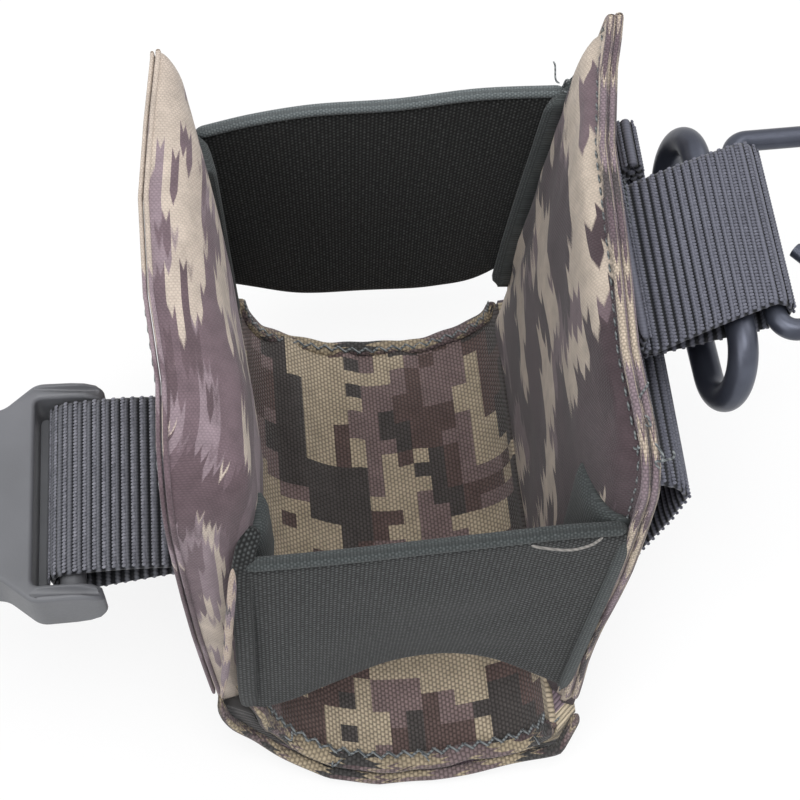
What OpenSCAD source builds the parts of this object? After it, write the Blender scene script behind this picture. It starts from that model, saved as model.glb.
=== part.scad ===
// Small open cradle pouch of padded camouflage cloth: a rounded floor, two padded walls,
// two elastic bands across the open ends, a belt loop, and a webbing loop on each side
// that carries one half of a side-release buckle and, opposite, an oval ring and a wire
// snap hook.
// X runs from the buckle side to the hook side, Y to the back, Z up. The origin is the
// middle of the flat strip that the pouch stands on.

/* [Pouch] */
// Width of the flat strip under the floor
floor_flat_w = 20; // [16:1:28]
// Depth of the walls from front to back, at the floor
pouch_d = 71; // [60:1:90]
// Height of the top edges above the flat strip
wall_top_z = 74; // [62:1:92]
// Slope of the front edges, so the walls are shorter at the top
front_slope = 8; // [0:1:12]
// Slope of the back edges, so the walls reach further back at the top
back_slope = 3; // [0:1:6]
// Thickness of one layer of the cloth, with its coating
cloth_t = 1; // [0.8:0.1:1.4]
// Thickness of the floor in its middle
floor_t = 2.2; // [2:0.1:3]

/* [Left wall] */
// Outer radius of the left lower corner
left_corner_r = 17; // [14:0.5:22]
// Outward lean of the left wall in degrees
left_lean = 3.5; // [1:0.5:8]
// Whole thickness of the left wall
left_wall_t = 5.5; // [4:0.5:8]
// Gap under the left wall at its seam, so that it can bend outwards
seam_gap = 0.3; // [0.2:0.1:0.5]

/* [Right wall] */
// Outer radius of the right lower corner
right_corner_r = 13; // [11:0.5:17]
// Outward lean of the right wall in degrees
right_lean = 6; // [4:0.5:9]
// Whole thickness of the right wall
right_wall_t = 4; // [3:0.5:6]

/* [Hems] */
// How far the rolled hem reaches past the walls at the back
back_hem_reach = 1.2; // [0.9:0.1:1.5]
// How far the rolled hem reaches past the walls at the front
front_hem_reach = 2.5; // [1:0.5:4]

/* [Elastic bands] */
// Width of the elastic
band_w = 38; // [30:1:40]
// Thickness of the elastic
band_t = 1.3; // [1:0.1:1.8]
// Height of the front band's lower edge
front_band_z = 23; // [20:1:28]
// Height of the back band's lower edge
back_band_z = 21; // [18:1:28]
// Gap between the stretched bands and the walls' edges
band_gap = 0.3; // [0.2:0.1:0.5]
// Width of the elastic's folded and sewn ends on the walls
tail_w = 7; // [5:0.5:10]

/* [Webbing] */
// Width of the narrow webbing
web_w = 25; // [20:1:30]
// Thickness of the webbing
web_t = 1.4; // [1.2:0.1:1.8]
// Length of the webbing's sewn ends on the walls
web_tail = 8; // [6:0.5:11]
// Clearance between the webbing loops and what they hold
loop_gap = 0.2; // [0.15:0.05:0.3]

/* [Left loop] */
// Height of the left loop
left_loop_z = 41; // [36:1:48]
// Middle of the left loop along the wall
left_loop_y = -9.5; // [-12:0.5:8]
// How far the buckle's bar is from the wall
left_loop_reach = 15.4; // [13:0.2:20]

/* [Right loop] */
// Height of the right loop
right_loop_z = 64.5; // [60:0.5:66]
// Middle of the right loop along the wall
right_loop_y = 9; // [0:1:12]
// Turn of the right loop towards the back, in degrees
right_loop_yaw = 2; // [0:1:10]
// How far the hook's bar is from the wall
right_loop_reach = 17.2; // [15:0.2:20]

/* [Belt loop] */
// Width of the belt loop's webbing
belt_web_w = 50; // [40:1:50]
// Height of its upper sewn end
belt_top_z = 60; // [52:1:60]
// Height of its lower sewn end
belt_low_z = 13.5; // [13:0.5:20]
// Room for the belt between loop and wall
belt_gap = 5.6; // [5.6:0.2:8]
// Middle of the belt loop along the wall
belt_y = 3; // [-4:1:6]

/* [Buckle] */
// Width of each of the buckle's two arms beside the slot
buckle_arm_w = 1.9; // [1.6:0.1:3]
// Thickness of the buckle's body
buckle_t = 8; // [7:0.5:10]
// How much wider the slot is than the webbing
slot_play = 2; // [0.8:0.2:2.4]
// Length of the slot
slot_len = 3.7; // [3.2:0.1:4.5]
// Radius of the round bar that the webbing goes over
bar_r = 1.7; // [1.5:0.1:2]
// Length of the prongs from the body's face
prong_len = 26.5; // [24:0.5:32]
// Thickness of the prongs and the guide
prong_t = 4.4; // [3.6:0.2:5]
// How far apart the barbs are at rest
barb_w = 31; // [30:0.5:35]

/* [Ring and hook] */
// Wire radius of the oval ring
ring_r = 1.9; // [1.6:0.1:2.2]
// Whole length of the oval ring
ring_len = 42; // [38:1:46]
// Distance between the ring's two legs, middle to middle
ring_pitch = 11.5; // [11:0.5:15]
// Slope of the ring down from the loop at rest, in degrees
ring_drop = 80; // [60:1:90]
// Wire radius of the snap hook
hook_r = 1.4; // [1.2:0.1:1.6]
// How much wider the snap hook is than the webbing, outside
hook_play = 7.5; // [7:0.5:10]
// Length of the snap hook, outside
hook_len = 50; // [42:1:60]
// Wire radius of the gate
gate_r = 0.9; // [0.8:0.1:1.1]

/* [Hidden] */
$fn = 48;
camo_cloth = "#8b7f6e";
lining_cloth = "#9a8f80";
foam = "#4a4a4a";
elastic = "#454948";
webbing = "#6b6d75";
acetal = "#75777b";
gunmetal = "#3d414b";
thread = "#5c5f63";
steel = "#8a8c90";
arc_steps = 10;
flat_x = floor_flat_w / 2;
front_y = -pouch_d / 2;
back_y = pouch_d / 2;
// Widths of what holds the narrow webbing
slot_w = web_w + slot_play;
buckle_w = slot_w + 2 * buckle_arm_w;
hook_w = web_w + hook_play;

// ---- Outline of the pouch across its width -------------------------------------------
// Where the outer face of a wall leaves the round corner
function seam_x(r, lean) = flat_x + r * cos(lean);
function seam_z(r, lean) = r - r * sin(lean);
// Radius of an inner curve that touches the floor at height f and a wall face at depth t
function inner_r(r, t, f, lean) = (r - t - (r - f) * sin(lean)) / (1 - sin(lean));
function corner(r, z0, lean, side) = [for (i = [0 : arc_steps])
  let (a = -90 + (90 - lean) * i / arc_steps) [side * (flat_x + r * cos(a)), z0 + r + r * sin(a)]];
// End of a corner on the seam, at depth t inside the outer face
function seam_end(r, lean, t, side) =
  [side * (seam_x(r, lean) - t * cos(lean)), seam_z(r, lean) + t * sin(lean)];
function reversed(p) = [for (i = [len(p) - 1 : -1 : 0]) p[i]];
// A curve across the pouch at depth t of each wall and height f of the floor, left to right
function across(tl, tr, f) = concat(
  [seam_end(left_corner_r, left_lean, tl, -1)],
  reversed(corner(inner_r(left_corner_r, tl, f, left_lean), f, left_lean, -1)),
  corner(inner_r(right_corner_r, tr, f, right_lean), f, right_lean, 1),
  [seam_end(right_corner_r, right_lean, tr, 1)]);
// A layer of the floor between two such curves
module floor_layer(outer, inner, y0, y1) {
  translate([0, y1, 0]) rotate([90, 0, 0])
    linear_extrude(y1 - y0) polygon(concat(outer, reversed(inner)));
}
function outer_curve() = across(0, 0, 0);
function middle_curve() = across(left_wall_t - cloth_t, right_wall_t - cloth_t, floor_t - cloth_t);
function inner_curve() = across(left_wall_t, right_wall_t, floor_t);

module base_cover() {
  color(camo_cloth) floor_layer(outer_curve(), middle_curve(), front_y, back_y);
}
module floor_lining() {
  color(lining_cloth) floor_layer(middle_curve(), inner_curve(), front_y, back_y);
}
// A rolled hem of lining and cover, as a band along one end of the floor
module hem(y0, y1) {
  color(lining_cloth) floor_layer(outer_curve(), inner_curve(), y0, y1);
}
module front_hem() { hem(front_y - front_hem_reach, front_y); }
module back_hem() { hem(back_y, back_y + back_hem_reach); }

// ---- Walls -----------------------------------------------------------------------------
left_seam = [-seam_x(left_corner_r, left_lean), seam_z(left_corner_r, left_lean)];
right_seam = [seam_x(right_corner_r, right_lean), seam_z(right_corner_r, right_lean)];
left_wall_h = (wall_top_z - left_seam[1]) / cos(left_lean);
right_wall_h = (wall_top_z - right_seam[1]) / cos(right_lean);
// Puts what is drawn on a wall, with its outer face at x = 0 and its inside below 0
module on_right_wall() {
  translate([right_seam[0], 0, right_seam[1]]) rotate([0, right_lean, 0]) children();
}
module on_left_wall() {
  translate([left_seam[0], 0, left_seam[1]]) mirror([1, 0, 0]) rotate([0, left_lean, 0]) children();
}
// Outer face of a wall at a height above the floor strip
function left_face_x(z) = left_seam[0] - (z - left_seam[1]) * tan(left_lean);
function right_face_x(z) = right_seam[0] + (z - right_seam[1]) * tan(right_lean);
// A wall's inner face, or a face at depth t from its outer one, at a height
function left_depth_x(z, t) = left_face_x(z) + t / cos(left_lean);
function right_depth_x(z, t) = right_face_x(z) - t / cos(right_lean);
// Front and back edges of the walls at a height
function front_edge_y(z) = front_y + (z - right_seam[1]) * tan(front_slope);
function back_edge_y(z) = back_y + (z - right_seam[1]) * tan(back_slope);

module wall_layer(h, v0, depth0, depth1) {
  translate([-depth1, 0, 0]) rotate([90, 0, 90]) linear_extrude(depth1 - depth0)
    polygon([[front_y, v0], [back_y, v0], [back_y + h * tan(back_slope), h],
      [front_y + h * tan(front_slope), h]]);
}
module left_outer_panel() {
  color(camo_cloth) on_left_wall() wall_layer(left_wall_h, seam_gap, 0, cloth_t);
}
module left_padding() {
  color(foam) on_left_wall() wall_layer(left_wall_h, seam_gap, cloth_t, left_wall_t - cloth_t);
}
module left_inner_panel() {
  color(lining_cloth) on_left_wall() wall_layer(left_wall_h, seam_gap, left_wall_t - cloth_t, left_wall_t);
}
module right_outer_panel() {
  color(camo_cloth) on_right_wall() wall_layer(right_wall_h, 0, 0, cloth_t);
}
module right_padding() {
  color(foam) on_right_wall() wall_layer(right_wall_h, 0, cloth_t, right_wall_t - cloth_t);
}
module right_inner_panel() {
  color(lining_cloth) on_right_wall() wall_layer(right_wall_h, 0, right_wall_t - cloth_t, right_wall_t);
}

// ---- Elastic bands ---------------------------------------------------------------------
// Each end of a band is folded double and sewn on the inner face of a wall; the band
// spans from one folded end to the other
tail_t = 2 * band_t;
tail_inset = 0.5;
function span_outline(z0, z1) = [
  [left_depth_x(z0, left_wall_t + tail_t) + band_gap, z0],
  [right_depth_x(z0, right_wall_t + tail_t), z0],
  [right_depth_x(z1, right_wall_t + tail_t), z1],
  [left_depth_x(z1, left_wall_t + tail_t) + band_gap, z1]];
// A band whose outer face stands on the line y0 at its lower edge and leans back
blank_half_w = -2 * left_seam[0];
module band(low, y0, y1, lean_back) {
  color(elastic) intersection() {
    translate([0, y0, low]) rotate([-lean_back, 0, 0])
      translate([-blank_half_w, y1, 0]) cube([2 * blank_half_w, band_t, band_w]);
    translate([0, pouch_d, 0]) rotate([90, 0, 0])
      linear_extrude(2 * pouch_d) polygon(span_outline(low - band_w, low + 2 * band_w));
  }
}
module front_elastic_band() {
  band(front_band_z, front_edge_y(front_band_z) + tail_inset, 0, front_slope);
}
module back_elastic_band() {
  band(back_band_z, back_edge_y(back_band_z) - tail_inset, -band_t, back_slope);
}
// A folded end on the inner face of a wall
module wall_tail(wall_t, v0, y0, lean_back, y1) {
  translate([-wall_t - tail_t, y0, v0]) rotate([-lean_back, 0, 0])
    translate([0, y1, 0]) cube([tail_t, tail_w, band_w]);
}
function left_v(z) = (z - left_seam[1]) / cos(left_lean);
function right_v(z) = (z - right_seam[1]) / cos(right_lean);
module front_tail(wall_t, v) {
  wall_tail(wall_t, v, front_edge_y(front_band_z) + tail_inset, front_slope, 0);
}
module back_tail(wall_t, v) {
  wall_tail(wall_t, v, back_edge_y(back_band_z) - tail_inset, back_slope, -tail_w);
}
module front_band_left_tail() {
  color(elastic) on_left_wall() front_tail(left_wall_t, left_v(front_band_z));
}
module front_band_right_tail() {
  color(elastic) on_right_wall() front_tail(right_wall_t, right_v(front_band_z));
}
module back_band_left_tail() {
  color(elastic) on_left_wall() back_tail(left_wall_t, left_v(back_band_z));
}
module back_band_right_tail() {
  color(elastic) on_right_wall() back_tail(right_wall_t, right_v(back_band_z));
}

// ---- Webbing ---------------------------------------------------------------------------
// A loop of webbing seen from its edge: two layers out from x = 0 and a fold round x = reach
module loop_edge(reach, inside, root) {
  difference() {
    union() {
      translate([reach, 0]) circle(inside + web_t);
      translate([root, -inside - web_t]) square([reach - root, 2 * (inside + web_t)]);
    }
    translate([reach, 0]) circle(inside);
    translate([root - 1, -inside]) square([reach - root + 1, 2 * inside]);
  }
}
module web_loop(reach, inside, root) {
  translate([0, web_w / 2, 0]) rotate([90, 0, 0]) linear_extrude(web_w) loop_edge(reach, inside, root);
}
// The loop's two sewn ends, flat on the wall above and below
module loop_ends(inside) {
  for (z0 = [inside, -inside - web_tail - web_t])
    translate([0, -web_w / 2, z0]) cube([web_t, web_w, web_tail + web_t]);
}
// Thread bars across a sewn end: three rows on each
module bartack_rows(x0, w, rows, pitch, z0) {
  for (i = [0 : rows - 1])
    translate([x0, -w / 2, z0 + i * pitch]) cube([tack_h, w, tack_t]);
}
tack_h = 0.5;
tack_t = 0.9;
left_inside = bar_r + loop_gap;
right_inside = ring_r + loop_gap;
left_root = [left_face_x(left_loop_z), left_loop_y, left_loop_z];
right_root = [right_face_x(right_loop_z), right_loop_y, right_loop_z];

module at_left_root() { translate(left_root) mirror([1, 0, 0]) children(); }
module at_right_root() { translate(right_root) rotate([0, 0, right_loop_yaw]) children(); }
module left_strap_loop() {
  color(webbing) union() {
    difference() {
      at_left_root() web_loop(left_loop_reach, left_inside, -3);
      on_left_wall() translate([-40, -60, -20]) cube([40, 120, 120]);
    }
    translate([0, left_loop_y, 0]) on_left_wall() translate([0, 0, left_v(left_loop_z)])
      loop_ends(left_inside);
  }
}
module left_strap_bartacks() {
  color(thread) translate([0, left_loop_y, 0]) on_left_wall() translate([0, 0, left_v(left_loop_z)])
    for (z0 = [left_inside + web_t + 1.6, -left_inside - web_tail - web_t + 1.2])
      bartack_rows(web_t, web_w - 3, 3, 2.4, z0);
}
module right_strap_loop() {
  color(webbing) union() {
    difference() {
      at_right_root() web_loop(right_loop_reach, right_inside, -6);
      on_right_wall() translate([-40, -60, -20]) cube([40, 120, 120]);
    }
    translate([0, right_loop_y, 0]) on_right_wall() translate([0, 0, right_v(right_loop_z)])
      translate([0, -web_w / 2, right_inside]) cube([web_t, web_w, right_tail + web_t]);
  }
}
// The upper end of the right loop stays under the wall's top edge
right_tail = 4.2;
module right_strap_bartacks() {
  color(thread) translate([0, right_loop_y, 0]) on_right_wall() translate([0, 0, right_v(right_loop_z)])
    bartack_rows(web_t, web_w - 3, 2, 1.8, right_inside + web_t + 0.9);
}

// ---- Belt loop -------------------------------------------------------------------------
// A wide webbing sewn to the right wall at both ends, standing off in between
belt_end_h = 4;
belt_bend_h = 3;
module belt_edge() {
  v0 = right_v(belt_low_z);
  v1 = right_v(belt_top_z);
  out = belt_gap + web_t;
  polygon([
    [0, v0], [web_t, v0], [web_t, v0 + belt_end_h - web_t / 2], [out, v0 + belt_end_h + belt_bend_h],
    [out, v1 - belt_end_h - belt_bend_h], [web_t, v1 - belt_end_h + web_t / 2], [web_t, v1], [0, v1],
    [0, v1 - belt_end_h - web_t / 2], [belt_gap, v1 - belt_end_h - belt_bend_h - web_t],
    [belt_gap, v0 + belt_end_h + belt_bend_h + web_t], [0, v0 + belt_end_h + web_t / 2]]);
}
module belt_loop() {
  color(webbing) on_right_wall() translate([0, belt_y + belt_web_w / 2, 0]) rotate([90, 0, 0])
    linear_extrude(belt_web_w) belt_edge();
}
module belt_loop_bartacks() {
  color(thread) translate([0, belt_y, 0]) on_right_wall() {
    bartack_rows(web_t, belt_web_w - 4, 2, 1.6, right_v(belt_top_z) - belt_end_h + 1.1);
    bartack_rows(web_t, belt_web_w - 4, 2, 1.6, right_v(belt_low_z) + 0.4);
  }
}

// ---- Half of a side-release buckle -----------------------------------------------------
// Drawn with its bar on the Y axis and its prongs towards +x, then set at the left loop
arm_back = 5.2;
shoulder_x0 = 6;
shoulder_x1 = 10;
face_x = 12.5;
face_w = 23.4;
guide_w = 5;
guide_len = 20.5;
root = [10.2, 8.6];
root_r = 1.9;
root_gap = 0.08;
root_arm_w = 2.6;
mouth_w = 3.36;
module at_buckle() {
  translate(left_root + [-left_loop_reach, -buckle_shift, 0]) mirror([1, 0, 0]) children();
}
// The webbing lies against one end of the slot
buckle_shift = (slot_w - web_w) / 2 - 0.3;
module slab(x0, x1, w, t) { translate([x0, -w / 2, -t / 2]) cube([x1 - x0, w, t]); }
module body_outline() {
  half = buckle_w / 2;
  side_pts = [[-arm_back, half - 2], [-arm_back + 2, half], [shoulder_x0, half],
    [shoulder_x1, face_w / 2], [face_x, face_w / 2]];
  polygon(concat(side_pts, [for (q = reversed(side_pts)) [q[0], -q[1]]]));
}
module buckle_plug() {
  color(acetal) at_buckle() difference() {
    union() {
      difference() {
        translate([0, 0, -buckle_t / 2]) linear_extrude(buckle_t) body_outline();
        slab(-arm_back - 1, bar_r + slot_len, slot_w, buckle_t + 2);
      }
      translate([0, slot_w / 2 + 0.5, 0]) rotate([90, 0, 0]) cylinder(r = bar_r, h = slot_w + 1);
      slab(face_x - 1, face_x + guide_len, guide_w, prong_t);
    }
    for (side = [1, -1]) {
      translate([root[0], side * root[1], -prong_t / 2 - root_gap])
        cylinder(r = root_r + root_gap, h = prong_t + 2 * root_gap);
      translate([0, side * root[1], 0]) slab(root[0], face_x + 1, mouth_w, prong_t + 2 * root_gap);
    }
  }
}
// A prong: a round root in the body, an arm, and a barb that bends inwards to let go
module prong(side) {
  tip = face_x + prong_len;
  barb = barb_w / 2;
  color(acetal) at_buckle() mirror([0, side > 0 ? 0 : 1, 0])
    translate([0, 0, -prong_t / 2]) linear_extrude(prong_t) {
      translate(root) circle(root_r);
      polygon([[root[0], root[1] - root_arm_w / 2], [face_x + 1, root[1] - root_arm_w / 2],
        [face_x + 3.5, root[1] - 0.4], [tip - 9, root[1] + 0.6], [tip - 2, root[1] - 1.8],
        [tip, root[1] - 0.6], [tip - 1, root[1] + 1.8], [tip - 6.5, barb - 0.4], [tip - 11, barb],
        [tip - 12.6, barb - 2.4], [face_x + 3.5, face_w / 2 - 0.1], [face_x + 1, root[1] + root_arm_w / 2],
        [root[0], root[1] + root_arm_w / 2]]);
    }
}
module plug_prong_front() { prong(-1); }
module plug_prong_back() { prong(1); }

// ---- Oval ring and snap hook -----------------------------------------------------------
// A straight wire between two points of a plane, with round ends
module wire(p, q, r) {
  d = q - p;
  length = norm(d);
  translate([p[0], p[1], 0]) rotate([0, 0, atan2(d[1], d[0])]) rotate([0, 90, 0]) cylinder(r = r, h = length);
}
// The point that lies d beyond q on the line from p
function past(p, q, d) = q + (q - p) * d / norm(q - p);
// A bent wire: part of a ring about c, from angle a0 on through the angle turn
module bend(c, radius, a0, turn, r) {
  translate([c[0], c[1], 0]) rotate([0, 0, a0]) rotate_extrude(angle = turn) translate([radius, 0]) circle(r);
}
ring_half = ring_pitch / 2;
ring_straight = ring_len / 2 - ring_r - ring_half;
ring_shift = -0.5;
ring_from_bar = 4.4;
// The ring's upper leg lies inside the right loop, just behind the hook's bar
module oval_ring() {
  color(gunmetal) at_right_root() translate([right_loop_reach - ring_from_bar, ring_shift, 0])
    rotate([0, 180 - ring_drop, 0]) union() {
      for (x = [0, ring_pitch]) wire([x, -ring_straight], [x, ring_straight], ring_r);
      bend([ring_half, ring_straight], ring_half, 0, 180, ring_r);
      bend([ring_half, -ring_straight], ring_half, 180, 180, ring_r);
    }
}
// Snap hook in its own plane: x = 0 is the bar in the fold, +x points away from the pouch
eye_r = 2.4;
crook_r = 9;
hook_half = hook_w / 2 - hook_r;
hook_far = hook_len - 2 * hook_r;
post_x = 12;
nose_x = hook_far - crook_r - 1;
hook_low = hook_half - 2 * crook_r;
module at_hook() {
  at_right_root() translate([right_loop_reach + right_inside - hook_r - loop_gap, 0, 0]) children();
}
module snap_hook_body() {
  color(gunmetal) at_hook() difference() {
    union() {
      wire([0, eye_r - hook_half], [0, hook_half - eye_r], hook_r);
      bend([eye_r, hook_half - eye_r], eye_r, 90, 90, hook_r);
      wire([eye_r, hook_half], [hook_far - crook_r, hook_half], hook_r);
      bend([hook_far - crook_r, hook_half - crook_r], crook_r, -90, 180, hook_r);
      wire([nose_x, hook_low], [hook_far - crook_r, hook_low], hook_r);
      wire([nose_x - 1, hook_low], [nose_x + 2, hook_low], nose_r);
      bend([eye_r, eye_r - hook_half], eye_r, 180, 90, hook_r);
      wire([eye_r, -hook_half], [post_x, -hook_half], hook_r);
      translate([post_x, -hook_half, -post_half]) cylinder(r = post_r, h = 2 * post_half);
    }
    translate([post_x, -hook_half, -5]) cylinder(r = rivet_r + rivet_gap, h = 10);
  }
}
nose_r = hook_r + 0.15;
post_r = 2.2;
post_half = hook_r + 0.1;
rivet_r = 0.8;
rivet_gap = 0.05;
cheek_t = 0.9;
cheek_gap = 0.25;
cheek_z = hook_r + cheek_gap;
// The gate: two cheeks on the rivet and a wire bow that rests on the inside of the nose
gate_tip = [nose_x + 0.5, hook_low + nose_r + gate_r + 0.15];
gate_len = norm([gate_tip[0] - post_x, gate_tip[1] + hook_half]);
gate_turn = atan2(gate_tip[1] + hook_half, gate_tip[0] - post_x);
gate_clear = 3.4;
module snap_hook_gate() {
  color(gunmetal) at_hook() translate([post_x, -hook_half, 0]) difference() {
    union() {
      for (side = [0, 1]) mirror([0, 0, side]) translate([0, 0, cheek_z]) {
        cylinder(r = post_r, h = cheek_t);
        rotate([0, 0, gate_turn]) translate([0, -post_r, 0]) cube([gate_clear + 2, 2 * post_r, cheek_t]);
      }
      rotate([0, 0, gate_turn]) translate([gate_clear, -post_r, -cheek_z - cheek_t / 2])
        cube([2, 2 * post_r, 2 * cheek_z + cheek_t]);
      rotate([0, 0, gate_turn]) for (z = [-gate_z, gate_z]) translate([gate_clear + 1, 0, z])
        rotate([0, 90, 0]) cylinder(r = gate_r, h = gate_len - gate_clear - 1);
      rotate([0, 0, gate_turn]) translate([gate_len, 0, -gate_z - gate_r])
        cylinder(r = gate_r, h = 2 * (gate_z + gate_r));
    }
    translate([0, 0, -5]) cylinder(r = rivet_r + rivet_gap, h = 10);
  }
}
gate_z = hook_r + gate_r + cheek_gap;
module gate_rivet() {
  color(steel) at_hook() translate([post_x, -hook_half, 0]) union() {
    translate([0, 0, -cheek_z - cheek_t - 0.1]) cylinder(r = rivet_r, h = 2 * (cheek_z + cheek_t + 0.1));
    for (side = [0, 1]) mirror([0, 0, side]) translate([0, 0, cheek_z + cheek_t + 0.1])
      cylinder(r = rivet_r + 0.7, h = 0.6);
  }
}
// A short bent wire on the front leg, which keeps the webbing on the bar
keeper_r = 1;
keeper_end = [4.7, -3];
keeper_bend = [7.4, -6.5];
keeper_foot_x = 8;
module web_keeper() {
  foot = [keeper_foot_x, hook_r + keeper_r - hook_half];
  color(gunmetal) at_hook() union() {
    wire(keeper_end, past(keeper_end, keeper_bend, keeper_r / 2), keeper_r);
    wire(past(foot, keeper_bend, keeper_r / 2), foot, keeper_r);
  }
}

base_cover();
floor_lining();
front_hem();
back_hem();
left_inner_panel();
left_padding();
left_outer_panel();
right_inner_panel();
right_padding();
right_outer_panel();
front_elastic_band();
back_elastic_band();
front_band_left_tail();
front_band_right_tail();
back_band_left_tail();
back_band_right_tail();
belt_loop();
belt_loop_bartacks();
left_strap_loop();
left_strap_bartacks();
right_strap_loop();
right_strap_bartacks();
buckle_plug();
plug_prong_front();
plug_prong_back();
oval_ring();
snap_hook_body();
snap_hook_gate();
gate_rivet();
web_keeper();
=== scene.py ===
import math

import bmesh
import bpy
import numpy as np
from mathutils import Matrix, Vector, noise


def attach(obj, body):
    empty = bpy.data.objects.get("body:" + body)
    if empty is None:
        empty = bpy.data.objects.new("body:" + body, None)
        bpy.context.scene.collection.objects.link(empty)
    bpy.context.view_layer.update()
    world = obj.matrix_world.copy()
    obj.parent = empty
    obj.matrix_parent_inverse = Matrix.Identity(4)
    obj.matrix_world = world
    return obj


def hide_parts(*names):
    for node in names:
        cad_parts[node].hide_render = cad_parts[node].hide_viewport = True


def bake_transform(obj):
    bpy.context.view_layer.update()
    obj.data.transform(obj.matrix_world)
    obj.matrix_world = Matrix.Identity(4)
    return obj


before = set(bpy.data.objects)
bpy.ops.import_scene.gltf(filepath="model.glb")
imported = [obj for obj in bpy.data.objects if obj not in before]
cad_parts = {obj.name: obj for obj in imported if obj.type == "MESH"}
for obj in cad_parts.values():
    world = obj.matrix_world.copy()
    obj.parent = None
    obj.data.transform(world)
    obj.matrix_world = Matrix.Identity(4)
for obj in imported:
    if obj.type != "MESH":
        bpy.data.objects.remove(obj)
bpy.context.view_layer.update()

scene = bpy.context.scene

# ---- Camera ------------------------------------------------------------------------------
# A small still-life camera that looks down into the pouch from the front. Its place is in
# metres and its turn in degrees.
def put(name, data):
    """A new object of this data, in the scene."""
    thing = bpy.data.objects.new(name, data)
    scene.collection.objects.link(thing)
    return thing


camera_data = bpy.data.cameras.new("camera")
camera_data.lens = 76.5
camera_data.sensor_width = 36.0
camera = put("camera", camera_data)
camera.location = (-0.01508, -0.11209, 0.24328)
camera.rotation_euler = [math.radians(a) for a in (29.548, -1.476, -5.092)]
scene.camera = camera


# ---- Table and light ---------------------------------------------------------------------
# A white paper sheet on a table, under three large soft boxes and a pale room. The paper
# shows white to the eye and keeps the pouch's own soft shadow.
MATH = "ShaderNodeMath"
PAPER_SHARE = 0.82
TABLE_HALF = 3.0
LIT_POINT = Vector((0, 0, 0.03))


def colour(hex_code):
    """An sRGB hex value as linear red, green, blue and alpha."""
    parts = [int(hex_code[i : i + 2], 16) / 255 for i in (1, 3, 5)]
    return (*[c / 12.92 if c <= 0.04045 else ((c + 0.055) / 1.055) ** 2.4 for c in parts], 1.0)


def add(tree, kind, inputs=(), out=0, **settings):
    """Adds a node with its settings and returns one of its outputs. inputs, in order or by
    name, are numbers, colours or the sockets that feed it."""
    node = tree.nodes.new(kind)
    for name, value in settings.items():
        setattr(node, name, value)
    for key, value in inputs.items() if isinstance(inputs, dict) else enumerate(inputs):
        if isinstance(value, bpy.types.NodeSocket):
            tree.links.new(value, node.inputs[key])
        else:
            node.inputs[key].default_value = value
    return node.outputs[out] if node.outputs else None


def blank_material(name):
    material = bpy.data.materials.new(name)
    material.use_nodes = True
    material.node_tree.nodes.clear()
    return material, material.node_tree


def seen_directly(tree):
    """1 for rays that look straight at a surface, in a mirror or through glass."""
    rays = add(tree, "ShaderNodeLightPath").node.outputs
    either = add(tree, MATH, (rays["Is Camera Ray"], rays["Is Glossy Ray"]), operation="MAXIMUM")
    return add(tree, MATH, (either, rays["Is Transmission Ray"]), operation="MAXIMUM")


paper, tree = blank_material("white_paper")
share = add(tree, MATH, (seen_directly(tree), PAPER_SHARE), operation="MULTIPLY")
matt = add(tree, "ShaderNodeBsdfDiffuse", {"Color": colour("#f4f4f3")})
glow = add(tree, "ShaderNodeEmission", {"Color": colour("#ffffff"), "Strength": 1.0})
mixed = add(tree, "ShaderNodeMixShader", (share, matt, glow))
add(tree, "ShaderNodeOutputMaterial", {"Surface": mixed})

table_mesh = bpy.data.meshes.new("table")
table_corners = [(x * TABLE_HALF, y * TABLE_HALF, 0.0) for x, y in ((-1, -1), (1, -1), (1, 1), (-1, 1))]
table_mesh.from_pydata(table_corners, [], [(0, 1, 2, 3)])
table_mesh.materials.append(paper)
put("table", table_mesh)

room = bpy.data.worlds.new("pale_room")
room.use_nodes = True
room.node_tree.nodes.clear()
tree = room.node_tree
room_light = add(tree, "ShaderNodeBackground", {"Color": colour("#f2f4f8"), "Strength": 0.68})
room_white = add(tree, "ShaderNodeBackground", {"Color": colour("#ffffff"), "Strength": 1.0})
mixed = add(tree, "ShaderNodeMixShader", (seen_directly(tree), room_light, room_white))
add(tree, "ShaderNodeOutputWorld", {"Surface": mixed})
scene.world = room

for name, place, size, watts in (("soft_box_left", (-0.40, -0.30, 0.60), 0.45, 2.0),
                                 ("soft_box_right", (0.45, 0.25, 0.60), 0.40, 1.3),
                                 ("soft_box_above", (0.02, -0.10, 0.72), 0.35, 2.3)):
    lamp_data = bpy.data.lights.new(name, "AREA")
    lamp_data.size = size
    lamp_data.energy = watts
    lamp = put(name, lamp_data)
    lamp.location = place
    lamp.rotation_euler = (LIT_POINT - Vector(place)).to_track_quat("-Z", "Y").to_euler()
scene.view_settings.view_transform = "Standard"


# ---- Pouch floor: cover and lining -------------------------------------------------------
# One piece of polyester oxford cloth with a printed block camouflage, a cover outside and
# a lining inside, bent up into a trough between the two walls and hemmed at its ends.
MM = 0.001  # sizes are in millimetres from here on, and made metres where a mesh is made
LEFT_SEAM = np.array((-26.968, 0.0, 15.962))
RIGHT_SEAM = np.array((22.929, 0.0, 11.641))
PRINT_CELL = 2.5
POINT_SHARE = 1.1  # a column's own point, against a chance of 1, in where its colour ends


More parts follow.
